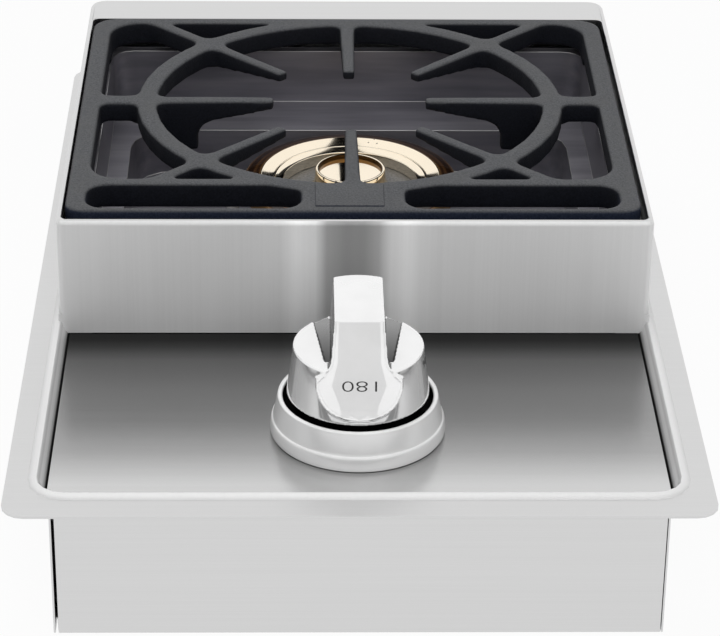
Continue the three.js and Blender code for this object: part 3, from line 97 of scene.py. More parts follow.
# %% [markdown]
# ## Wiring materials
# Every finish below is a small net of nodes that ends in one Principled shader.
# Adding a node, setting it and linking it takes many lines by hand, so one helper does the three.
# Patterns read Object coordinates: each piece has its place in its mesh, so the grain stays put.

# %% Helpers for nodes
def wire(tree, kind, inputs, **settings):
    """Adds a node. Each input gets a number, a colour or another node's output."""
    new = tree.nodes.new(kind)
    for name, value in settings.items():
        setattr(new, name, value)
    for socket, value in inputs.items():
        if isinstance(value, bpy.types.NodeSocket):
            tree.links.new(value, new.inputs[socket])
        else:
            new.inputs[socket].default_value = value
    return new.outputs[0]


def blank_finish(name, **sockets):
    """A new material with its shader's plain values set."""
    material = bpy.data.materials.new(name)
    material.use_nodes = True
    shader = material.node_tree.nodes["Principled BSDF"]
    for socket, value in sockets.items():
        shader.inputs[socket.replace("_", " ")].default_value = value
    return material, material.node_tree, shader


def object_place(tree):
    """The place on the piece, in Object coordinates."""
    return wire(tree, "ShaderNodeTexCoord", {}).node.outputs["Object"]


def grain_noise(tree, stretch, detail=3):
    """Noise in Object coordinates, stretched along the axes where its scale is low."""
    stretched = wire(tree, "ShaderNodeMapping", {"Vector": object_place(tree), "Scale": stretch})
    return wire(tree, "ShaderNodeTexNoise", {"Vector": stretched, "Scale": 1, "Detail": detail})


def between(tree, value, low, high, start=0.35, end=0.65):
    """A value from start to end becomes one from low to high."""
    return wire(tree, "ShaderNodeMapRange", {
        "Value": value, "From Min": start, "From Max": end, "To Min": low, "To Max": high})


def mixed(tree, share, first, second, blend="MIX"):
    """Two colours mixed by a share. For colours this node takes inputs 6 and 7, and gives output 2."""
    mix = wire(tree, "ShaderNodeMix", {0: share, 6: first, 7: second}, data_type="RGBA", blend_type=blend)
    return mix.node.outputs[2]


def along(tree, axis, start, end):
    """A place along one of the object's axes, from 0 at start to 1 at end."""
    value = wire(tree, "ShaderNodeSeparateXYZ", {"Vector": object_place(tree)}).node.outputs[axis]
    return between(tree, value, 0, 1, start, end)


def ramp(tree, value, stops):
    """Colours along a value from 0 to 1."""
    colour = wire(tree, "ShaderNodeValToRGB", {"Fac": value})
    band = colour.node.color_ramp.elements
    for place, tone in stops[1:-1]:
        band.new(place).color = tone
    for element, (place, tone) in ((band[0], stops[0]), (band[-1], stops[-1])):
        element.position, element.color = place, tone
    return colour


def bumped(tree, shader, height, strength, distance):
    """Fine relief on a finish."""
    normal = wire(tree, "ShaderNodeBump", {"Height": height, "Strength": strength, "Distance": distance})
    tree.links.new(normal, shader.inputs["Normal"])


def grey(level, warmth=0.0):
    """A grey, a little warmer or cooler."""
    return (level * (1 + warmth), level, level * (1 - warmth), 1)


# %% [markdown]
# ## Brushed steel
# Stainless sheet for kitchens is drawn past a belt that leaves fine straight scratches, all one way.
# The scratches are finer than a hair, so from a step away they only soften the shine.
# The noise is stretched a few hundred times along the brushing. It drives the colour, the roughness and a
# faint relief, each by so little that no single scratch stands out.

# %% Brushed steel
STEEL_LEVEL, STEEL_ROUGHNESS = 0.68, 0.3
TONE_SWING, ROUGH_SWING = 0.02, 0.08
BROADER, BROAD_SHARE = 9, 0.3
SCRATCH_STRENGTH, SCRATCH_DEPTH = 0.02, 0.1 * MM


def brushed_steel(name, stretch, level=STEEL_LEVEL, roughness=STEEL_ROUGHNESS):
    """Steel brushed along the axis whose stretch is low. Broader bands of the same grain are mixed in."""
    material, tree, shader = blank_finish(name, Metallic=1)
    fine = grain_noise(tree, stretch)
    broad = grain_noise(tree, [s / BROADER for s in stretch], 1)
    both = mixed(tree, BROAD_SHARE, fine, broad)
    darkest, palest = grey(level * (1 - TONE_SWING)), grey(level * (1 + TONE_SWING))
    tone = mixed(tree, between(tree, both, 0, 1), darkest, palest)
    tree.links.new(tone, shader.inputs["Base Color"])
    rough = between(tree, both, roughness * (1 - ROUGH_SWING), roughness * (1 + ROUGH_SWING))
    tree.links.new(rough, shader.inputs["Roughness"])
    bumped(tree, shader, fine, SCRATCH_STRENGTH, SCRATCH_DEPTH)
    return material, tree, shader, tone


ALONG_X = (9, 3200, 3200)
ALONG_Y = (3200, 9, 3200)
ALONG_Z = (700, 700, 6)
steel_across = brushed_steel("steel_brushed_across", ALONG_X)[0]
steel_along = brushed_steel("steel_brushed_along", ALONG_Y)[0]
# Painted highlight: a brighter steel for the liner's eased edges, so that they show as thin bright lines.
highlight_steel = brushed_steel("steel_painted_highlight", ALONG_X, 0.5)[0]
# Painted shade: a dark steel for the rear side of the front bead.
edge_shade = brushed_steel("steel_shaded_edge", ALONG_X, 0.1)[0]
print("steel finishes:", steel_across.name, steel_along.name, highlight_steel.name, edge_shade.name)

# %% [markdown]
# ## Steel with a soft fall of tone
# The tray in front of the burner and the wall behind it face each other, so each mirrors the other.
# The tray falls from pale steel at the front to nearly black at the wall's foot, as painted shade and
# reflection.
# The wall has painted pale and dark streaks, the reflection of the knob that stands before it, and the bead's
# painted shade darkens towards its foot.
# These slow falls of reflection and shade are painted as colours along one axis of the object, because steel
# this rough would need many more bounces of light to find them. Wall and bead are only partly metallic, so that
# their tones hold from every side.

# %% Tray, wall and bead
def toned_steel(name, stretch, axis, start, end, stops, roughness, metallic=1.0):
    """Brushed steel whose colour follows the stops from start to end on one axis."""
    material, tree, shader, tone = brushed_steel(name, stretch, 1, roughness)
    shader.inputs["Metallic"].default_value = metallic
    fall = ramp(tree, along(tree, axis, start, end), [(share, grey(level)) for share, level in stops])
    tree.links.new(mixed(tree, 1, fall, tone, "MULTIPLY"), shader.inputs["Base Color"])
    return material


BEAD_RISE, TRAY_DROP = 1.6 * MM, 5.5 * MM
bead_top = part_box("top_frame")[1].z
flange_z = bead_top - BEAD_RISE
tray_z = flange_z - TRAY_DROP
wall_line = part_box("raised_surround")[0].y
TRAY_RUN, STREAKS_REACH = 150 * MM, 60 * MM
TRAY_TONES = [
    (0, 0.003), (0.05, 0.008), (0.1, 0.05), (0.19, 0.18), (0.4, 0.28), (0.6, 0.315), (0.8, 0.4),
    (0.94, 0.57), (1, 0.64)]
WALL_TONES = [
    (0, 0.78), (0.18, 0.8), (0.25, 1), (0.33, 0.9), (0.38, 0.45), (0.46, 0.34), (0.54, 0.36), (0.6, 0.5),
    (0.65, 0.86), (0.72, 1), (0.78, 0.88), (0.86, 0.8), (1, 0.8)]
BEAD_TONES = [
    (0, 0.01), (0.06, 0.08), (0.12, 0.35), (0.3, 0.75), (0.6, 0.85), (0.775, 0.67), (0.9, 0.74), (1, 0.83)]
tray_steel = toned_steel("steel_tray", ALONG_X, "Y", wall_line, wall_line - TRAY_RUN, TRAY_TONES, 0.22)
wall_steel = toned_steel("steel_wall", ALONG_Z, "X", -STREAKS_REACH, STREAKS_REACH, WALL_TONES, 0.5, 0.25)
bead_steel = toned_steel("steel_bead", ALONG_Y, "Z", tray_z, bead_top, BEAD_TONES, 0.35, 0.3)
print("tray", round((bead_top - tray_z) / MM, 2), "mm below the bead's top")
print("toned steels:", tray_steel.name, wall_steel.name, bead_steel.name)

# %% [markdown]
# ## Cast iron, brass, chrome and the rest
# Cast iron keeps the grain of the sand it was poured in, and a baked coat makes it nearly black. Its tops are
# painted paler than its sides as light from above, and behind the front rail the sides get painted shadow.
# The brass caps are polished on a lathe, and painted reflection and shade darken their rims in rings. The knob
# and its bezel are chrome plated. The burner's inside is sheet steel in shadow, with a dark gloss.

# %% The two axes
def middle(node):
    """The middle of a solid's box."""
    low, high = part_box(node)
    return (low + high) / 2


burner_axis = middle("burner_ring_cap")
knob_axis = middle("bezel_spacer")
print("burner's axis at", [round(c / MM, 1) for c in burner_axis[:2]], "mm")
print("knob's axis at", [round(c / MM, 1) for c in knob_axis[:2]], "mm")

# %% Cast iron
SHADOW_START, SHADOW_FULL = 6 * MM, 26 * MM
cast_iron, tree, shader = blank_finish("cast_iron", Roughness=0.7)
shader.inputs["Specular IOR Level"].default_value = 0.25
sand = grain_noise(tree, (1100, 1100, 1100), 4)
patches = grain_noise(tree, (60, 60, 60), 2)
# Painted light and shade: faces that look up get the paler tone, the sides a darker one.
tops = mixed(tree, between(tree, sand, 0, 1, 0.3, 0.7), (0.055, 0.058, 0.064, 1), (0.125, 0.127, 0.133, 1))
tops = mixed(tree, between(tree, patches, 0, 0.35), tops, (0.1, 0.1, 0.1, 1))
sides = mixed(tree, between(tree, sand, 0, 1), (0.006, 0.01, 0.022, 1), (0.016, 0.021, 0.038, 1))
# Painted shadow for the sides behind the front rail.
shadowed_sides = mixed(tree, between(tree, sand, 0, 1), (0.0015, 0.002, 0.004, 1), (0.006, 0.007, 0.011, 1))
grate_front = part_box("grate")[0].y
shadow_share = along(tree, "Y", grate_front + SHADOW_START, grate_front + SHADOW_FULL)
sides = mixed(tree, shadow_share, sides, shadowed_sides)
lean_of_face = wire(tree, "ShaderNodeTexCoord", {}).node.outputs["Normal"]
upward = wire(tree, "ShaderNodeSeparateXYZ", {"Vector": lean_of_face}).node.outputs["Z"]
tone = mixed(tree, between(tree, upward, 0, 1, 0.25, 0.9), sides, tops)
tree.links.new(tone, shader.inputs["Base Color"])
bumped(tree, shader, sand, 0.6, 0.5 * MM)
print("grate's front at", round(grate_front / MM, 1), "mm, finish:", cast_iron.name)

# %% Polished brass
brass, tree, shader = blank_finish("brass_polished", Metallic=1)
from_axis = wire(tree, "ShaderNodeMapping", {
    "Vector": object_place(tree), "Location": (-burner_axis.x, -burner_axis.y, 0), "Scale": (1, 1, 0)})
radius = wire(tree, "ShaderNodeVectorMath", {0: from_axis}, operation="LENGTH").node.outputs["Value"]
polish = (0.98, 0.87, 0.7, 1)
golden = (0.5, 0.3, 0.12, 1)
dark_brown = (0.11, 0.052, 0.022, 1)
darkest_brown = (0.025, 0.012, 0.007, 1)
# Painted reflection: each colour is reached at its distance from the axis, in mm. Past 50 mm the painted rings
# also dull the metal.
REFLECTION_BANDS = [(0, polish), (49.9, polish), (50.3, golden), (51, dark_brown), (52.2, darkest_brown), (54.2, dark_brown),
              (55, darkest_brown), (57.6, darkest_brown), (58.6, dark_brown), (60, golden)]
BANDS_END = REFLECTION_BANDS[-1][0]
stops = [(reach / BANDS_END, colour) for reach, colour in REFLECTION_BANDS]
ring_reflections = ramp(tree, between(tree, radius, 0, 1, 0, BANDS_END * MM), stops)
wear = grain_noise(tree, (40, 40, 40), 2)
shine = mixed(tree, between(tree, wear, 0, 1), grey(0.97), grey(1))
tree.links.new(mixed(tree, 1, ring_reflections, shine, "MULTIPLY"), shader.inputs["Base Color"])
tree.links.new(between(tree, wear, 0.05, 0.09), shader.inputs["Roughness"])
tree.links.new(between(tree, radius, 1, 0.3, 50 * MM, 51 * MM), shader.inputs["Metallic"])
print("brass:", brass.name, "with", len(REFLECTION_BANDS), "painted reflection bands")

# %% Chrome
def chrome_finish(name, smoothest, roughest, metallic=1.0):
    """Bright plating, whose faint haze moves it between two levels of roughness."""
    material, tree, shader = blank_finish(name, Metallic=metallic)
    haze = grain_noise(tree, (60, 60, 60), 3)
    tone = mixed(tree, between(tree, haze, 0, 1), grey(0.9), grey(0.94))
    tree.links.new(tone, shader.inputs["Base Color"])
    tree.links.new(between(tree, haze, smoothest, roughest), shader.inputs["Roughness"])
    return material, tree, shader, tone


chrome = chrome_finish("chrome_satin", 0.2, 0.25, 0.22)[0]
print("chrome:", chrome.name)

# %% Chrome for the knob, and painted shade and reflection for its grooves and the grip bar's sides
knob_chrome = chrome_finish("chrome_knob", 0.04, 0.07, 0.72)[0]
painted_groove_shade, tree, shader, tone = chrome_finish("chrome_painted_groove_shade", 0.2, 0.3)
# Painted shade: darker towards the knob's front, lighter to the rear.
shade = ramp(tree, along(tree, "Y", knob_axis.y - 18 * MM, knob_axis.y + 22 * MM), [
    (0, grey(0.05)), (0.25, grey(0.1)), (0.6, grey(0.2)), (1, grey(0.34))])
tree.links.new(mixed(tree, 1, tone, shade, "MULTIPLY"), shader.inputs["Base Color"])
print("knob finishes:", knob_chrome.name, painted_groove_shade.name)

# %% Dark inner steel
liner_steel, tree, shader = blank_finish("steel_dark", Metallic=0.6)
stain = grain_noise(tree, (14, 140, 140), 3)
tone = mixed(tree, between(tree, stain, 0, 1), (0.2, 0.195, 0.222, 1), (0.27, 0.263, 0.292, 1))
tree.links.new(tone, shader.inputs["Base Color"])
tree.links.new(between(tree, stain, 0.36, 0.42), shader.inputs["Roughness"])
print("inner steel:", liner_steel.name)

# %% Plated steel, cast alloy, plastic and ceramic
def plain_finish(name, dark, light, grain, rough, metallic=0.0):
    """A finish with two tones of one colour and matching roughness. The grain is one number, or three."""
    material, tree, shader = blank_finish(name, Metallic=metallic)
    noise = grain_noise(tree, grain if isinstance(grain, tuple) else (grain, grain, grain), 3)
    tree.links.new(mixed(tree, between(tree, noise, 0, 1), dark, light), shader.inputs["Base Color"])
    tree.links.new(between(tree, noise, *rough), shader.inputs["Roughness"])
    bumped(tree, shader, noise, 0.15, 0.2 * MM)
    return material


plated_steel = plain_finish("steel_plated", grey(0.42), grey(0.56), 200, (0.3, 0.42), 1)
cast_alloy = plain_finish("alloy_cast", grey(0.2), grey(0.34), 900, (0.45, 0.6), 1)
black_plastic = plain_finish("plastic_black", grey(0.008), grey(0.014), 700, (0.35, 0.5))
white_ceramic = plain_finish("ceramic_white", grey(0.72, 0.03), grey(0.8, 0.03), 400, (0.18, 0.28))
rim_shade_brass = plain_finish(
    "brass_painted_rim_shade", (0.16, 0.085, 0.03, 1), (0.3, 0.17, 0.06, 1), (30, 30, 300), (0.3, 0.4), 1)
shade_black = plain_finish("black_painted_shade", grey(0.002), grey(0.004), 700, (0.75, 0.85))
shade_black.node_tree.nodes["Principled BSDF"].inputs["Specular IOR Level"].default_value = 0.05
FINISHES = {
    "brushed_steel": steel_across, "liner_steel": liner_steel, "plated_steel": plated_steel,
    "cast_iron": cast_iron, "polished_brass": brass, "cast_aluminium": cast_alloy,
    "chrome": chrome, "black_plastic": black_plastic, "ceramic": white_ceramic,
}
print("finishes:", ", ".join(FINISHES))

# %% [markdown]
# ## A finish for every solid
# Many solids are right as they are, such as the valve, the gas line and the screws.
# Each keeps its mesh and gets the finish of the material slot that the record names for it. Only the nut under
# the knob is given dead black, as painted shade, because it lies in a dark slot.

# %% Finishes on the solids
slot_of = {part["node"]: part["material_slot"] for part in frame["record"]["subparts"]}
body_of = {node: body for body, nodes in frame["record"]["behaviour"]["bodies"].items() for node in nodes}
for node, solid in frame["nodes"].items():
    solid.data.materials.clear()
    solid.data.materials.append(shade_black if node == "valve_locknut" else FINISHES[slot_of[node]])
print("solids with a finish:", len(slot_of))

# %% [markdown]
# ## Helpers for pieces
# A piece is started from a copy of a solid or from a primitive, shaped in edit mode, and finished with
# modifiers. An operator acts on all that is selected, so everything else is let go first.

# %% Helpers for pieces
FLAT_ANGLE = math.radians(1)


def alone(piece):
    """Only this piece is selected and active."""
    bpy.ops.object.select_all(action="DESELECT")
    piece.select_set(True)
    bpy.context.view_layer.objects.active = piece


def in_edit_mode(piece, *steps):
    """Runs steps on the whole mesh in edit mode."""
    alone(piece)
    bpy.ops.object.mode_set(mode="EDIT")
    bpy.ops.mesh.select_all(action="SELECT")
    for step in steps:
        step()
    bpy.ops.object.mode_set(mode="OBJECT")


def modified(piece, kind, **settings):
    """Adds a modifier and applies it."""
    alone(piece)
    modifier = piece.modifiers.new(kind.title(), kind)
    for name, value in settings.items():
        setattr(modifier, name, value)
    bpy.ops.object.modifier_apply(modifier=modifier.name)


def merged_copy(node, name):
    """A copy of a solid's mesh with its loose triangles joined and its flat faces whole."""
    piece = bpy.data.objects.new(name, frame["nodes"][node].data.copy())
    bpy.context.scene.collection.objects.link(piece)
    in_edit_mode(
        piece,
        lambda: bpy.ops.mesh.remove_doubles(threshold=0.002 * MM),
        lambda: bpy.ops.mesh.dissolve_limited(angle_limit=FLAT_ANGLE),
    )
    return piece


def smooth(piece, degrees):
    """Soft shading, except over edges sharper than the angle."""
    alone(piece)
    bpy.ops.object.shade_smooth_by_angle(angle=math.radians(degrees))


def evenly_lit(piece, degrees):
    """Soft shading in which the big faces stay flat, and the small ones beside them take up the bend."""
    smooth(piece, degrees)
    modified(piece, "WEIGHTED_NORMAL", mode="FACE_AREA", weight=80, keep_sharp=True)


def bevelled(piece, width, segments, degrees=40, **settings):
    """Rounds the edges that are sharper than the angle."""
    modified(piece, "BEVEL", width=width, segments=segments, limit_method="ANGLE",
             angle_limit=math.radians(degrees), **settings)


def dressed(piece, *nodes):
    """The piece stands for these solids: it takes their body and material slot."""
    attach(piece, body_of[nodes[0]])
    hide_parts(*nodes)
    if not piece.data.materials:
        piece.data.materials.append(FINISHES[slot_of[nodes[0]]])
    print(piece.name, len(piece.data.polygons), "faces")
    return piece


def joined_with(piece, tool, operation):
    """Adds or cuts a tool, which is used up."""
    modified(piece, "BOOLEAN", object=tool, operation=operation, solver="EXACT")
    bpy.data.objects.remove(tool)


def placed(piece, name):
    """A finished primitive: its place goes into its mesh."""
    alone(piece)
    bpy.ops.object.transform_apply(location=True, rotation=True, scale=True)
    piece.name = name
    return piece


def in_order(piece):
    """Numbers points and faces by their place. Extruding numbers them in another way in every run."""
    mesh = piece.data
    points = [tuple(vertex.co) for vertex in mesh.vertices]
    order = sorted(range(len(points)), key=points.__getitem__)
    number = {old: new for new, old in enumerate(order)}
    faces = []
    for face in mesh.polygons:
        corners = [number[corner] for corner in face.vertices]
        first = corners.index(min(corners))
        faces.append(corners[first:] + corners[:first])
    mesh.clear_geometry()
    mesh.from_pydata([points[old] for old in order], [], sorted(faces))
    return piece


def block(name, place, size):
    """A block with its middle at a place."""
    bpy.ops.object.select_all(action="DESELECT")
    bpy.ops.mesh.primitive_cube_add(size=1, location=place)
    piece = bpy.context.object
    piece.scale = size
    return placed(piece, name)


# %% [markdown]
# ## Sheet metal
# Frame, burner box, panels and liner are folded from thin sheet. Real sheet has no knife edges:
# every cut edge is eased and every bend is round, and those edges catch the light as thin bright lines.
# The solids have the folds already, so a copy of each gets its edges bevelled and its bends shaded soft.
# Two sheets need work before that: the wall's foot is filled out to the bead, and the tray gets a narrow strip
# along its edge, to be painted as a dark line of shade where it meets the bead.

# %% Sheet metal pieces
def sheet_piece(node, ease=0.3, edge=None, before=None):
    """A folded sheet with edges eased by some tenths of a mm. They may have a finish of their own."""
    piece = merged_copy(node, node + "_sheet")
    if before:
        before(piece)
    if edge:
        piece.data.materials.clear()
        piece.data.materials.append(FINISHES[slot_of[node]])
        piece.data.materials.append(edge)
    bevelled(piece, ease * MM, 2, material=1 if edge else -1)
    evenly_lit(piece, 50)
    return dressed(piece, node)


# %% Work before the easing
surround_low, surround_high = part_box("raised_surround")
CORNER_SIZE = (17 * MM, 1 * MM, 11 * MM)
CORNER_PLACE = (surround_high.x - 8.5 * MM, surround_low.y + 0.5 * MM, tray_z + 5.7 * MM)
CREASE = 0.9 * MM


def filled_corners(piece):
    """The wall's foot is scribed to the bead, so its two lower corners reach down to it."""
    x, y, z = CORNER_PLACE
    for side in (-1, 1):
        joined_with(piece, block("corner", (side * x, y, z), CORNER_SIZE), "UNION")
    in_edit_mode(piece, lambda: bpy.ops.mesh.dissolve_limited(angle_limit=FLAT_ANGLE))


def chosen_faces(piece, chosen):
    """Selects the faces that the test picks, by normal and centre."""
    for part in (piece.data.vertices, piece.data.edges):
        part.foreach_set("select", [False] * len(part))
    for face in piece.data.polygons:
        face.select = chosen(face.normal, face.center)


# How far the tray reaches inside its crease, sideways and to the front, as creased_tray finds it.
tray_edge = Vector((0, 0))


def creased_tray(piece):
    """Sets a narrow strip along the tray's edge, where it meets the bead."""
    alone(piece)
    chosen_faces(piece, lambda normal, centre: normal.z > 0.99 and abs(centre.z - tray_z) < 0.1 * MM)
    bpy.ops.object.mode_set(mode="EDIT")
    bpy.ops.mesh.select_mode(type="FACE")
    bpy.ops.mesh.inset(thickness=CREASE, depth=0)
    bpy.ops.object.mode_set(mode="OBJECT")
    inner = [face for face in piece.data.polygons if face.select]
    corners = [piece.data.vertices[v].co for face in inner for v in face.vertices]
    tray_edge.x = max(abs(corner.x) for corner in corners) - 0.05 * MM
    tray_edge.y = min(corner.y for corner in corners) + 0.05 * MM
    print("tray without its crease reaches", [round(c / MM, 2) for c in tray_edge], "mm")


# %% The sheets
BEFORE = {"raised_surround": filled_corners, "top_frame": creased_tray}
PLAIN_SHEETS = ("top_frame", "raised_surround", "front_panel", "rear_panel", "left_side_panel",
                "right_side_panel", "bottom_pan", "left_grate_ledge", "right_grate_ledge",
                "valve_bracket", "heat_shield", "burner_bracket")
sheets = {node: sheet_piece(node, before=BEFORE.get(node)) for node in PLAIN_SHEETS}
# The liner's eased edges get the brighter steel: a painted highlight.
sheets["burner_liner"] = sheet_piece("burner_liner", 0.5, edge=highlight_steel)


# %% Finishes on parts of the sheets
def repainted(node, finish, chosen):
    """Gives the chosen faces of a sheet another finish."""
    piece = sheets[node]
    piece.data.materials.append(finish)
    number = len(piece.data.materials) - 1
    count = 0
    for face in piece.data.polygons:
        if chosen(face.normal, face.center):
            face.material_index = number
            count += 1
    print(node, finish.name, count, "faces")


for node in ("top_frame", "raised_surround", "left_side_panel", "right_side_panel"):
    repainted(node, steel_along, lambda normal, centre: abs(normal.x) > 0.7)
wall_back = wall_line + 2 * MM
frame_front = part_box("top_frame")[0].y
BEAD_REACH = 155 * MM
# Painted shade and reflection on the tray's floor and the bead round it, a painted dark line in the crease
# between the two, painted shade on the bead's rear side, and painted streaks on the wall.
repainted("top_frame", tray_steel, lambda normal, centre: (
    normal.z > 0.9 and abs(centre.z - tray_z) < 0.2 * MM))
repainted("top_frame", bead_steel, lambda normal, centre: (
    normal.z > 0.05 and tray_z + 0.2 * MM < centre.z and (normal.z < 0.985 or centre.z > flange_z + 0.3 * MM)
    and centre.y > frame_front + 3 * MM and abs(centre.x) < BEAD_REACH))
repainted("top_frame", shade_black, lambda normal, centre: (
    normal.z > 0.2 and tray_z - 0.2 * MM < centre.z < tray_z + 0.5 * MM
    and (abs(centre.x) > tray_edge.x or centre.y < tray_edge.y)))
# The front bead's rear-facing faces get painted shade.
repainted("top_frame", edge_shade, lambda normal, centre: (
    normal.y > 0.3 and centre.z > tray_z + 3 * MM and centre.y < frame_front + 30 * MM))
repainted("raised_surround", wall_steel, lambda normal, centre: normal.y < -0.7 and centre.y < wall_back)

# %% [markdown]
# ## The grate
# The grate is one iron casting. Sand moulds can't hold sharp edges, so all its edges are round and its corners
# are filled. A voxel remesh turns the solid into an even net, and smoothing that net rounds every edge alike,
# which is what the casting does. The net is just fine enough for the fingers, so that the piece stays light.
# A low bare plate stands on the front pad. It rides along with the grate.

# %% Grate
PLATE_PLACE = (-2.6 * MM, -44 * MM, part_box("grate")[1].z)
PLATE_SIZE = (35.5 * MM, 26 * MM, 1.5 * MM)
CASTING_NET, CASTING_ROUNDS = 1.12 * MM, 9
grate = merged_copy("grate", "grate_casting")
plate = block("grate_plate", PLATE_PLACE, PLATE_SIZE)
bevelled(plate, 0.6 * MM, 3)
smooth(plate, 60)
plate.data.materials.append(cast_iron)
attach(plate, body_of["grate"])
modified(grate, "REMESH", mode="VOXEL", voxel_size=CASTING_NET)
modified(grate, "SMOOTH", factor=0.5, iterations=CASTING_ROUNDS)
alone(grate)
bpy.ops.object.shade_smooth()
dressed(grate, "grate")

# %% [markdown]
# ## Pieces turned on a lathe
# The bezel and the brass caps are round, so each is drawn as a circle that is pulled up through its profile,
# ring by ring, with extrude and resize. That gives the even loops that polished metal needs.

# %% Lathe helper
def turned(name, profile, centre, steps=128, ring=True):
    """Pulls a circle through (radius, height) points. A ring closes on itself, other pieces get end faces."""
    bpy.ops.object.select_all(action="DESELECT")
    radius, height = profile[0]
    bpy.ops.mesh.primitive_circle_add(vertices=steps, radius=radius, location=(centre.x, centre.y, height))
    piece = bpy.context.object
    bpy.ops.object.mode_set(mode="EDIT")
    bpy.ops.mesh.select_all(action="SELECT")
    for next_radius, next_height in profile[1:] + (profile[:1] if ring else []):
        bpy.ops.mesh.extrude_edges_move(TRANSFORM_OT_translate={"value": (0, 0, next_height - height)})
        share = next_radius / radius
        bpy.ops.transform.resize(value=(share, share, 1), center_override=(centre.x, centre.y, next_height))
        radius, height = next_radius, next_height
    bpy.ops.mesh.select_all(action="SELECT")
    bpy.ops.mesh.remove_doubles(threshold=0.001 * MM)
    if not ring:
        bpy.ops.mesh.fill_holes(sides=0)
    bpy.ops.mesh.normals_make_consistent(inside=False)
    bpy.ops.object.mode_set(mode="OBJECT")
    return in_order(placed(piece, name))


def arc(start, control, end, count=8):
    """Points along a curve from start to end that bends towards control."""
    return [tuple((1 - t) ** 2 * a + 2 * t * (1 - t) * b + t * t * c for a, b, c in zip(start, control, end))
            for t in (i / count for i in range(count + 1))]


def facing(face, axis):
    """How squarely a face looks at an upright axis: 1 straight at it, -1 straight away."""
    inward = (Vector(axis[:2]) - Vector(face.center[:2])).normalized()
    return inward.dot(Vector(face.normal[:2]))


# %% [markdown]
# ## The bezel
# The bezel is a chrome ring round the knob, in two steps: a low band on the tray, and a ring that leans in
# towards its round lip. Its inner wall is painted dead black, because no light reaches it under the knob.
# Inside it sits a black plastic ring with a low collar round the nut. The collar hides the stem, and closes the
# gap under the knob to a dark slot. Ring and collar are dead black, a dark piece that stands in for shade
# there.

# %% Bezel
bezel_low, bezel_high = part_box("knob_bezel")
bezel_centre = middle("knob_bezel")
bezel_radius = bezel_high.x - bezel_centre.x
bezel_bore, bezel_rim = bezel_radius - 6.1 * MM, bezel_radius - 3.5 * MM
band_top = bezel_low.z + 7.8 * MM
lip = 1.2 * MM
bezel_band = arc((bezel_radius, bezel_low.z + 0.8 * MM), (bezel_radius, band_top),
                 (bezel_radius - 1.3 * MM, band_top))
bezel_side = arc((bezel_radius - 1.4 * MM, band_top + 0.2 * MM), (bezel_rim + 1.1 * MM, band_top + 5 * MM),
                 (bezel_rim + 0.1 * MM, bezel_high.z - 1.6 * MM))
bezel_lip = arc((bezel_rim, bezel_high.z - lip), (bezel_rim, bezel_high.z), (bezel_rim - lip, bezel_high.z))
bezel_inside = arc((bezel_bore + lip, bezel_high.z), (bezel_bore, bezel_high.z),
                   (bezel_bore, bezel_high.z - lip))
bezel = turned("bezel_ring", [
    (bezel_bore, bezel_low.z), (bezel_radius - 0.6 * MM, bezel_low.z), *bezel_band, *bezel_side,
    *bezel_lip, *bezel_inside], bezel_centre)
bezel.data.materials.append(chrome)
bezel.data.materials.append(shade_black)
for face in bezel.data.polygons:
    if facing(face, bezel_centre) > 0.9 and face.center.z < bezel_high.z - lip:
        face.material_index = 1
smooth(bezel, 50)
dressed(bezel, "knob_bezel")

# %% Black ring under the knob
spacer_low, spacer_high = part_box("bezel_spacer")
nut_low, nut_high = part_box("valve_locknut")
spacer_radius, spacer_bore = spacer_high.x - bezel_centre.x, 31 * MM
NUT_AIR, COLLAR_WALL = 1.2 * MM, 1.5 * MM
floor_bore, floor_top = (nut_high.x - nut_low.x) / 2 + NUT_AIR, spacer_low.z + 2 * MM
collar_radius, collar_top = floor_bore + COLLAR_WALL, min(spacer_high.z, flange_z + 11.5 * MM)
spacer = turned("black_ring", [
    (floor_bore, spacer_low.z), (spacer_radius, spacer_low.z), (spacer_radius, spacer_high.z),
    (spacer_bore, spacer_high.z), (spacer_bore, floor_top), (collar_radius, floor_top),
    (collar_radius, collar_top), (floor_bore, collar_top)], bezel_centre)
print("collar top", round((collar_top - flange_z) / MM, 2), "mm over the flange")
smooth(spacer, 30)
# Dead black as painted shade in the gap under the knob.
spacer.data.materials.append(shade_black)
dressed(spacer, "bezel_spacer")

# %% [markdown]
# ## The knob
# The knob is a hollow skirt with a grip bar across it. The bar's front falls in one slanted flat, which widens
# over the skirt into a shield with a round lower edge. A groove that widens to the rear runs along each side.
# Skirt, bar and shield are made apart and joined, and then a fine voxel remesh melts their edges together.
# Heights on the knob are given in mm over the flange.

# %% Knob skirt
knob_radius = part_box("knob")[1].x - knob_axis.x
BASE_UP, FACE_UP, TOP_UP = 15.6, 41.5, 64.3
KNOB_BASE, KNOB_FACE, KNOB_TOP = (flange_z + up * MM for up in (BASE_UP, FACE_UP, TOP_UP))
FACE_RADIUS = knob_radius - 3.2 * MM
STEM_BORE, HUB_RADIUS = 4.3 * MM, 9 * MM
HUB_FOOT, HOLLOW_TOP = KNOB_FACE - 12 * MM, KNOB_FACE - 8 * MM
knob = turned("knob_grip", [
    (STEM_BORE, HUB_FOOT), (HUB_RADIUS, HUB_FOOT), (HUB_RADIUS, HOLLOW_TOP),
    (knob_radius - 5 * MM, HOLLOW_TOP), (knob_radius - 3 * MM, KNOB_BASE), (knob_radius, KNOB_BASE),
    (FACE_RADIUS, KNOB_FACE), (STEM_BORE, KNOB_FACE)], knob_axis)
print("knob radius", round(knob_radius / MM, 2), "mm")


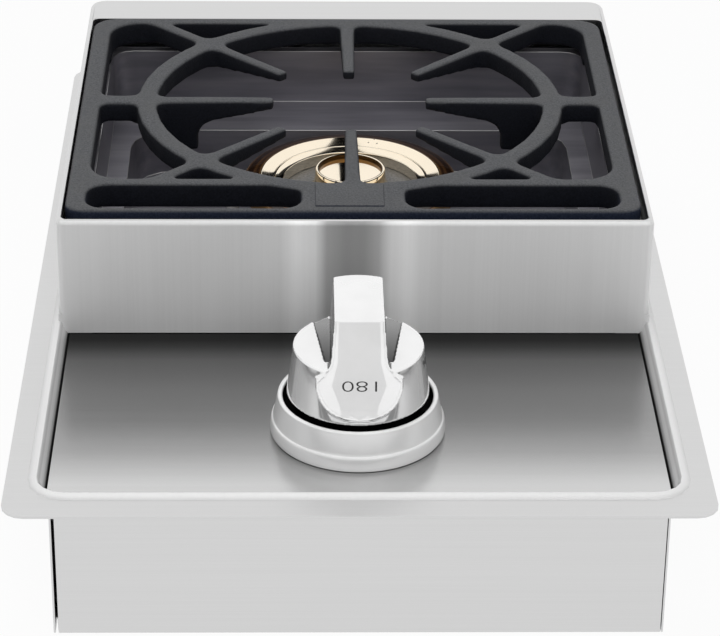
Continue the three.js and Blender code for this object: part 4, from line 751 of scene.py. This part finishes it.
# %% Pulled outlines
def pulled(name, outline, start, end, flat_axis):
    """An outline's points, pulled from start to end along Y (flat_axis 1) or Z (flat_axis 2)."""
    bpy.ops.object.select_all(action="DESELECT")
    bpy.ops.mesh.primitive_circle_add(vertices=len(outline), radius=1, fill_type="NGON", location=(0, 0, 0))
    piece = bpy.context.object
    for vertex, (right, up) in zip(piece.data.vertices, outline):
        vertex.co = (right, start, up) if flat_axis == 1 else (right, up, start)
    way = [0, 0, 0]
    way[flat_axis] = end - start
    in_edit_mode(
        piece,
        lambda: bpy.ops.mesh.extrude_region_move(TRANSFORM_OT_translate={"value": way}),
        lambda: bpy.ops.mesh.select_all(action="SELECT"),
        lambda: bpy.ops.mesh.normals_make_consistent(inside=False),
    )
    return in_order(placed(piece, name))


def sliced(piece, point, normal):
    """Cuts away what lies on the normal's side of a plane and closes the cut."""
    in_edit_mode(piece, lambda: bpy.ops.mesh.bisect(
        plane_co=point, plane_no=Vector(normal).normalized(), clear_outer=True, use_fill=True))


def on_knob(*points):
    """Points in mm beside the knob's axis and over the flange, as places."""
    return [(knob_axis.x + x * MM, flange_z + up * MM) for x, up in points]


def mirrored(half):
    """An outline's left half joined to its mirror image, from the middle round and back."""
    return half + [(-x, up) for x, up in reversed(half) if abs(x) > 0.01]


# %% Grip bar and shield
# The ramp climbs 39.3 mm while it runs 13.7 mm to the rear. BAR_FOOT and BAR_TOP are half widths in mm.
RAMP_TOP = (knob_axis.x, knob_axis.y - 19 * MM, KNOB_TOP)
RAMP_NORMAL = Vector((0, -39.3, 13.7)).normalized()
BAR_FOOT, BAR_TOP = 13.4, 12
FRONT, REAR = knob_axis.y - knob_radius - 5 * MM, knob_axis.y + knob_radius + 5 * MM
bar_outline = on_knob((-BAR_FOOT, FACE_UP - 3), (-BAR_FOOT, FACE_UP), (-BAR_TOP, TOP_UP),
                      (BAR_TOP, TOP_UP), (BAR_FOOT, FACE_UP), (BAR_FOOT, FACE_UP - 3))
grip_bar = pulled("grip_bar", bar_outline, FRONT, REAR, 1)
sliced(grip_bar, RAMP_TOP, RAMP_NORMAL)
TOP_RADIUS = knob_radius - (knob_radius - FACE_RADIUS) * (TOP_UP - BASE_UP) / (FACE_UP - BASE_UP)
grip_round = turned("grip_round", [(knob_radius, KNOB_BASE), (TOP_RADIUS, KNOB_TOP)], knob_axis, ring=False)
joined_with(grip_bar, grip_round, "INTERSECT")

shoulder = arc((-BAR_FOOT, 47.5), (-BAR_FOOT, FACE_UP), (-20.5, 36.5), 6)
chin = arc((-20.5, 32), (-17, 18.6), (0, 18.6), 8)
shield_outline = on_knob(*mirrored([(0, TOP_UP), (-BAR_TOP, TOP_UP), *shoulder, *chin]))
shield = pulled("shield", shield_outline, FRONT, knob_axis.y - 20 * MM, 1)
shield_front = pulled("shield_front", shield_outline, FRONT, knob_axis.y - 18 * MM, 1)
sliced(shield_front, RAMP_TOP, -RAMP_NORMAL)
joined_with(knob, shield_front, "DIFFERENCE")
sliced(shield, RAMP_TOP, RAMP_NORMAL)
print("grip bar's top round:", round(TOP_RADIUS / MM, 2), "mm")

# %% Grooves
# Seen from above, in mm from the axis. The groove's floor starts 5 mm deep and rises 4.7 mm over a 46 mm run.
GROOVE_FRONT, GROOVE_DEPTH, GROOVE_NORMAL = -18, 5, (0, 4.7, -46)
groove_plan = [*arc((BAR_FOOT, -16.5), (BAR_FOOT, GROOVE_FRONT), (14.9, GROOVE_FRONT), 4),
               *arc((14.9, GROOVE_FRONT), (16.4, GROOVE_FRONT), (16.4, -16.5), 4)[1:],
               (22.3, 28), (BAR_FOOT, 28)]
for side in (-1, 1):
    plan = [(knob_axis.x + side * x * MM, knob_axis.y + y * MM) for x, y in groove_plan]
    groove = pulled("groove", plan, KNOB_FACE - 6 * MM, KNOB_FACE + 2 * MM, 2)
    groove_floor = (0, knob_axis.y + GROOVE_FRONT * MM, KNOB_FACE - GROOVE_DEPTH * MM)
    sliced(groove, groove_floor, GROOVE_NORMAL)
    joined_with(knob, groove, "DIFFERENCE")
joined_with(knob, grip_bar, "UNION")
joined_with(knob, shield, "UNION")
print("knob before its remesh:", len(knob.data.polygons), "faces")

# %% [markdown]
# ## The knob's surface
# The remesh melts the edges, but it leaves cones and planes a little uneven, and chrome shows that at once.
# So each point that lies close to a true surface, and looks the same way, is set exactly on it.
# The slanted front isn't quite flat: it is crowned, and catches the light with a bright tongue in its middle.

# %% Knob surface
KNOB_NET, KNOB_ROUNDS, SAME_WAY = 0.5 * MM, 9, 0.985
modified(knob, "REMESH", mode="VOXEL", voxel_size=KNOB_NET)
modified(knob, "SMOOTH", factor=0.5, iterations=KNOB_ROUNDS)


def set_onto(piece, reach, *surfaces):
    """Sets the points within reach of a true surface exactly on it, where they look its way."""
    mesh = piece.data
    points = np.empty(len(mesh.vertices) * 3)
    normals = np.empty(len(mesh.vertices) * 3)
    mesh.vertices.foreach_get("co", points)
    mesh.vertices.foreach_get("normal", normals)
    points, normals = points.reshape(-1, 3), normals.reshape(-1, 3)
    for surface in surfaces:
        distance, way = surface(points)
        near = (abs(distance) < reach) & ((normals * way).sum(1) > SAME_WAY)
        points = np.where(near[:, None], points - distance[:, None] * way, points)
    mesh.vertices.foreach_set("co", points.ravel())
    mesh.update()


def flat_at(point, normal):
    """A plane's distance and direction at many points."""
    point, normal = np.array(point), np.array(Vector(normal).normalized())
    return lambda points: ((points - point) @ normal, np.tile(normal, (len(points), 1)))


def skirt_cone(points):
    """The skirt's distance and direction at many points."""
    taper = (knob_radius - FACE_RADIUS) / (KNOB_FACE - KNOB_BASE)
    out = points[:, :2] - np.array(knob_axis)[:2]
    reach = np.hypot(*out.T)
    distance = (reach - knob_radius + taper * (points[:, 2] - KNOB_BASE)) / math.hypot(1, taper)
    way = np.column_stack([out / reach[:, None], np.full(len(points), taper)]) / math.hypot(1, taper)
    return distance, way


# How wide the tongue is to each side at some heights, and how steeply the front leans away beside and below it.
TONGUE_UPS, TONGUE_HALVES = (25, 34.7, 45, 64.3), (8.2, 12.2, 9.4, 8.9)
TONGUE_FOOT, SIDE_LEAN, FOOT_LEAN = 24.4, 0.17, 0.09
LEAN_EASE = 1.2 * MM


def crowned_ramp(points):
    """The slanted front has a flat tongue in its middle, and leans away beside and below it."""
    distance, way = flat_at(RAMP_TOP, RAMP_NORMAL)(points)
    up = (points[:, 2] - flange_z) / MM
    tongue = np.interp(up, TONGUE_UPS, TONGUE_HALVES) * MM
    beside, below = abs(points[:, 0] - knob_axis.x) - tongue, (TONGUE_FOOT - up) * MM
    for margin, lean in ((beside, SIDE_LEAN), (below, FOOT_LEAN)):
        margin = np.maximum(0, margin)
        eased = np.where(margin < LEAN_EASE, margin ** 2 / (2 * LEAN_EASE), margin - LEAN_EASE / 2)
        distance = distance + lean * eased
    return distance, way


def bar_side(side):
    """The plane of the grip bar's left (-1) or right (1) side."""
    top_edge = (knob_axis.x + side * BAR_TOP * MM, 0, KNOB_TOP)
    return flat_at(top_edge, (side * (TOP_UP - FACE_UP), 0, BAR_FOOT - BAR_TOP))


set_onto(knob, 3 * MM, crowned_ramp)
set_onto(knob, 0.12 * MM, skirt_cone, flat_at((0, 0, KNOB_TOP), (0, 0, 1)),
         flat_at((0, 0, KNOB_FACE), (0, 0, 1)), bar_side(1), bar_side(-1))
alone(knob)
bpy.ops.object.shade_smooth()

# %% Parts of the knob in painted shade
knob.data.materials.append(knob_chrome)
knob.data.materials.append(painted_groove_shade)
# The grooves and the grip bar's sides take the painted shade and reflection.
for face in knob.data.polygons:
    x, y, z = face.center - Vector((knob_axis.x, knob_axis.y, KNOB_FACE))
    beside_bar = abs(x) > 13 * MM and y > -18.6 * MM and math.hypot(x, y) < 31 * MM
    in_groove = beside_bar and -5.6 * MM < z < -0.3 * MM
    on_bar_side = z > -0.3 * MM and abs(face.normal.x) > 0.75
    if in_groove or on_bar_side:
        face.material_index = 1
dressed(knob, "knob")

# %% [markdown]
# ## Marks on the knob
# A dial has printed marks that are read as the knob turns. Here they are plain numbers, the angle of the
# turn: 180 on the shield and 90 on the skirt. Each is a text object, made a mesh and laid on its surface.

# %% Marks
DIGIT_SHARE, THINNED, PRINT_THICKNESS = 0.7, -0.022, 0.06 * MM
printed_black = plain_finish("printed_black", grey(0.004), grey(0.008), 900, (0.5, 0.6))


def mark(name, words, height, width_share, turn):
    """Print with digits of some height, made wider by a share, and turned and moved to its place."""
    bpy.ops.object.select_all(action="DESELECT")
    bpy.ops.object.text_add(location=(0, 0, 0))
    piece = bpy.context.object
    piece.data.body = words
    piece.data.align_x, piece.data.align_y = "CENTER", "CENTER"
    piece.data.size = height / DIGIT_SHARE
    piece.data.offset = THINNED * height
    piece.data.extrude = PRINT_THICKNESS
    alone(piece)
    bpy.ops.object.convert(target="MESH")
    piece = bpy.context.object
    piece.matrix_world = turn @ Matrix.Diagonal((width_share, 1, 1, 1))
    placed(piece, name)
    piece.data.materials.append(printed_black)
    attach(piece, body_of["knob"])
    print(name, len(piece.data.polygons), "faces")


def stand_on(point, out, up):
    """A frame at a point, with Z out of the surface and Y as near to up as it can be."""
    out = Vector(out).normalized()
    right = Vector(up).cross(out).normalized()
    turn = Matrix((right, out.cross(right), out)).transposed().to_4x4()
    return Matrix.Translation(point) @ turn


# The shield's mark stands on its head until the knob is turned half round. The skirt's mark sits 12 degrees
# forward of the right side.
mark_spot = Vector((knob_axis.x + 1.2 * MM, knob_axis.y - 29.3 * MM, flange_z + 34.8 * MM))
mark("shield_mark", "180", 5.2 * MM, 1.8, stand_on(mark_spot, RAMP_NORMAL, (0, 0, -1)))
SIDE_ANGLE, SKIRT_LEAN = math.radians(-12), 0.123
side_out = Vector((math.cos(SIDE_ANGLE), math.sin(SIDE_ANGLE), SKIRT_LEAN))
side_reach = Vector((side_out.x, side_out.y, 0)) * (knob_radius - 2.4 * MM)
side_spot = Vector((knob_axis.x, knob_axis.y, flange_z + 35 * MM)) + side_reach
mark("skirt_mark", "90", 4 * MM, 1.2, stand_on(side_spot, side_out, (0, 0, 1)))

# %% [markdown]
# ## The brass caps
# A ring cap covers the outer chamber: a band that rises to a crest, a shallow cone that falls inwards from it,
# a groove and an inner slope, with three small holes at the rear. A dished cup covers the inner chamber, and
# its rim is darkened inside with painted shade. Both are turned and polished. Under their edges a row of slots
# lets the flame out: one slot cutter is copied round, and all are cut in one go.

# %% Flame slots
SLOT_WIDTH = 1.6 * MM


def slot_cutters(inner, outer, low, high, count):
    """Blocks that stand out from the burner's axis like spokes."""
    cutter = block("cutters", (burner_axis.x + (inner + outer) / 2, burner_axis.y, (low + high) / 2),
                   (outer - inner, SLOT_WIDTH, high - low))
    turn = 2 * math.pi / count

    def copy_on():
        bpy.ops.mesh.duplicate()
        bpy.ops.transform.rotate(
            value=turn, orient_axis="Z", center_override=(burner_axis.x, burner_axis.y, low))

    in_edit_mode(cutter, *[copy_on] * (count - 1))
    return cutter


# %% Ring cap
ring_low, ring_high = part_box("burner_ring_cap")
cap_radius = (ring_high.x - ring_low.x) / 2
cap_z = ring_low.z + 1.3 * MM
crest = (cap_radius - 9.6 * MM, ring_high.z)
ring_slope = arc((cap_radius, crest[1] - 3.4 * MM), (cap_radius, crest[1] - 2 * MM),
                 (cap_radius - 2 * MM, crest[1] - 1.7 * MM)) + [crest]
groove_top, groove_foot = crest[1] - 2.3 * MM, crest[1] - 2.8 * MM
groove_wall = [(cap_radius - 16.2 * MM, groove_top), (cap_radius - 16.5 * MM, groove_foot),
               (cap_radius - 17.2 * MM, groove_foot), (cap_radius - 17.6 * MM, groove_top)]
ring_inside = [(cap_radius - 21.6 * MM, crest[1] - 3.7 * MM), (cap_radius - 22 * MM, crest[1] - 4.3 * MM),
               (cap_radius - 22 * MM, ring_low.z), (cap_radius - 19.5 * MM, ring_low.z)]
ring_cap = turned("ring_cap_polished", [
    (cap_radius - 2.5 * MM, ring_low.z), (cap_radius, ring_low.z), *ring_slope,
    (crest[0] - 0.5 * MM, crest[1] - 0.1 * MM), *groove_wall, *ring_inside,
    (cap_radius - 19.5 * MM, cap_z), (cap_radius - 2.5 * MM, cap_z)], burner_axis)
joined_with(ring_cap, slot_cutters(
    cap_radius - 9 * MM, cap_radius + 2 * MM, cap_z - 0.6 * MM, cap_z + 1.4 * MM, 36), "DIFFERENCE")
HOLES, HOLE_RADIUS = ((14.5, 47.4), (11.1, 45.3), (16, 44)), 0.4 * MM
for x, y in HOLES:
    hole = turned("hole", [(HOLE_RADIUS, cap_z + 5.5 * MM), (HOLE_RADIUS, cap_z + 11 * MM)],
                  burner_axis + Vector((x, y, 0)) * MM, 12, ring=False)
    joined_with(ring_cap, hole, "DIFFERENCE")
evenly_lit(ring_cap, 40)
dressed(ring_cap, "burner_ring_cap")

# %% Centre cup
cup_low, cup_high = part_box("burner_center_cap")
cup_foot = (cup_high.x - cup_low.x) / 2
cup_radius = cup_foot - 2.9 * MM
cup_side = arc((cup_foot, cup_high.z - 11.5 * MM), (cup_radius + 0.4 * MM, cup_high.z - 9 * MM),
               (cup_radius, cup_high.z - 0.6 * MM))
cup = turned("centre_cup", [
    (9 * MM, cup_low.z), (9 * MM, cup_high.z - 7.5 * MM), (cup_foot - 3 * MM, cup_high.z - 7.5 * MM),
    (cup_foot - 3 * MM, cup_high.z - 14.2 * MM), (cup_foot, cup_high.z - 14.2 * MM), *cup_side,
    (cup_radius - 0.4 * MM, cup_high.z - 0.1 * MM), (cup_radius - 0.9 * MM, cup_high.z),
    (cup_radius - 1.6 * MM, cup_high.z - 0.2 * MM), (cup_radius - 2.1 * MM, cup_high.z - 2.6 * MM)],
    middle("burner_center_cap"), ring=False)
joined_with(cup, slot_cutters(
    cup_foot - 5 * MM, cup_foot + 2 * MM, cup_low.z + 7.9 * MM, cup_low.z + 9.8 * MM, 18), "DIFFERENCE")
cup.data.materials.append(brass)
cup.data.materials.append(rim_shade_brass)
# The cup's inner wall near its rim gets painted shade in dark brass.
for face in cup.data.polygons:
    near_rim = face.center.z > cup_high.z - 4.4 * MM
    if near_rim and face.normal.z < 0.5 and facing(face, burner_axis) > 0:
        face.material_index = 1
evenly_lit(cup, 40)
dressed(cup, "burner_center_cap")

# %% [markdown]
# ## Floor and light
# The photograph has a plain white ground. World and floor are white to the camera and to mirrors. Yet the world
# lights the burner only dimly, and the floor still takes its soft shadow. Straight in front, mirrors see one
# pale grey card with a soft edge, as a photographer would hang it up, so that the box's front is a quiet grey.
# A wide lamp stands over the burner and another in front of it. Both are hidden from mirrors, so that steel
# shows an even studio and not the lamps.

# %% World
def camera_and_seen(tree):
    """Two shares: 1 for rays from the camera, and 1 for rays from camera, mirrors and glass alike."""
    rays = wire(tree, "ShaderNodeLightPath", {}).node.outputs
    camera_share, mirror_share = rays["Is Camera Ray"], rays["Is Glossy Ray"]
    seen = wire(tree, "ShaderNodeMath", {0: camera_share, 1: mirror_share}, operation="MAXIMUM")
    seen = wire(tree, "ShaderNodeMath", {0: seen, 1: rays["Is Transmission Ray"]}, operation="MAXIMUM")
    return camera_share, seen


STUDIO_LEVEL, CARD_LEVEL = 0.22, 0.74
CARD_WAY = Vector((0, -0.985, 0.175))
CARD_EDGE, CARD_CORE = math.cos(math.radians(16)), math.cos(math.radians(11))
world = bpy.data.worlds.new("studio")
bpy.context.scene.world = world
world.use_nodes = True
tree = world.node_tree
tree.nodes.clear()
camera_share, seen = camera_and_seen(tree)
way = wire(tree, "ShaderNodeTexCoord", {}).node.outputs["Generated"]
to_card = wire(tree, "ShaderNodeVectorMath", {0: way, 1: CARD_WAY}, operation="DOT_PRODUCT")
card = between(tree, to_card.node.outputs["Value"], 1, CARD_LEVEL, CARD_EDGE, CARD_CORE)
studio = wire(tree, "ShaderNodeBackground", {"Color": grey(1), "Strength": STUDIO_LEVEL})
mirrored_studio = wire(tree, "ShaderNodeBackground", {"Color": grey(1), "Strength": card})
backdrop = wire(tree, "ShaderNodeBackground", {"Color": grey(1), "Strength": 1})
seen_studio = wire(tree, "ShaderNodeMixShader", {0: camera_share, 1: mirrored_studio, 2: backdrop})
surface = wire(tree, "ShaderNodeMixShader", {0: seen, 1: studio, 2: seen_studio})
tree.links.new(surface, tree.nodes.new("ShaderNodeOutputWorld").inputs["Surface"])
print("studio lights at", STUDIO_LEVEL, "and its card shows at", CARD_LEVEL)

# %% Floor
FLOOR_SIDE, FLOOR_TONE, GLOW_SHARE = 6, 0.8, 0.94
bpy.ops.object.select_all(action="DESELECT")
bpy.ops.mesh.primitive_plane_add(size=FLOOR_SIDE, location=(0, 0, cad_box[0].z - 0.1 * MM))
floor = placed(bpy.context.object, "floor")
floor_finish, tree, shader = blank_finish("floor_white", Roughness=0.9)
shader.inputs["Base Color"].default_value = grey(FLOOR_TONE)
seen = camera_and_seen(tree)[1]
glow = wire(tree, "ShaderNodeEmission", {"Color": grey(1), "Strength": 1})
share = wire(tree, "ShaderNodeMath", {0: seen, 1: GLOW_SHARE}, operation="MULTIPLY")
surface = wire(tree, "ShaderNodeMixShader", {0: share, 1: shader.outputs[0], 2: glow})
tree.links.new(surface, tree.nodes["Material Output"].inputs["Surface"])
floor.data.materials.append(floor_finish)
print("floor:", FLOOR_SIDE, "m square")


# %% Lamps
def soft_lamp(name, place, aim, width, power):
    """A square area lamp that mirrors don't show. Its width is in metres and its power in watts."""
    lamp_data = bpy.data.lights.new(name, "AREA")
    lamp_data.size = width
    lamp_data.energy = power
    lamp = bpy.data.objects.new(name, lamp_data)
    bpy.context.scene.collection.objects.link(lamp)
    lamp.location = place
    lamp.rotation_mode = "QUATERNION"
    lamp.rotation_quaternion = (Vector(aim) - Vector(place)).to_track_quat("-Z", "Y")
    lamp.visible_glossy = False
    return lamp


soft_lamp("lamp_over", (-0.3, 0.3, 1.8), (0, 0, 0.1), 1.4, 17)
soft_lamp("lamp_front", (0.3, -1.6, 1.2), (0, 0, 0.05), 1.2, 15)
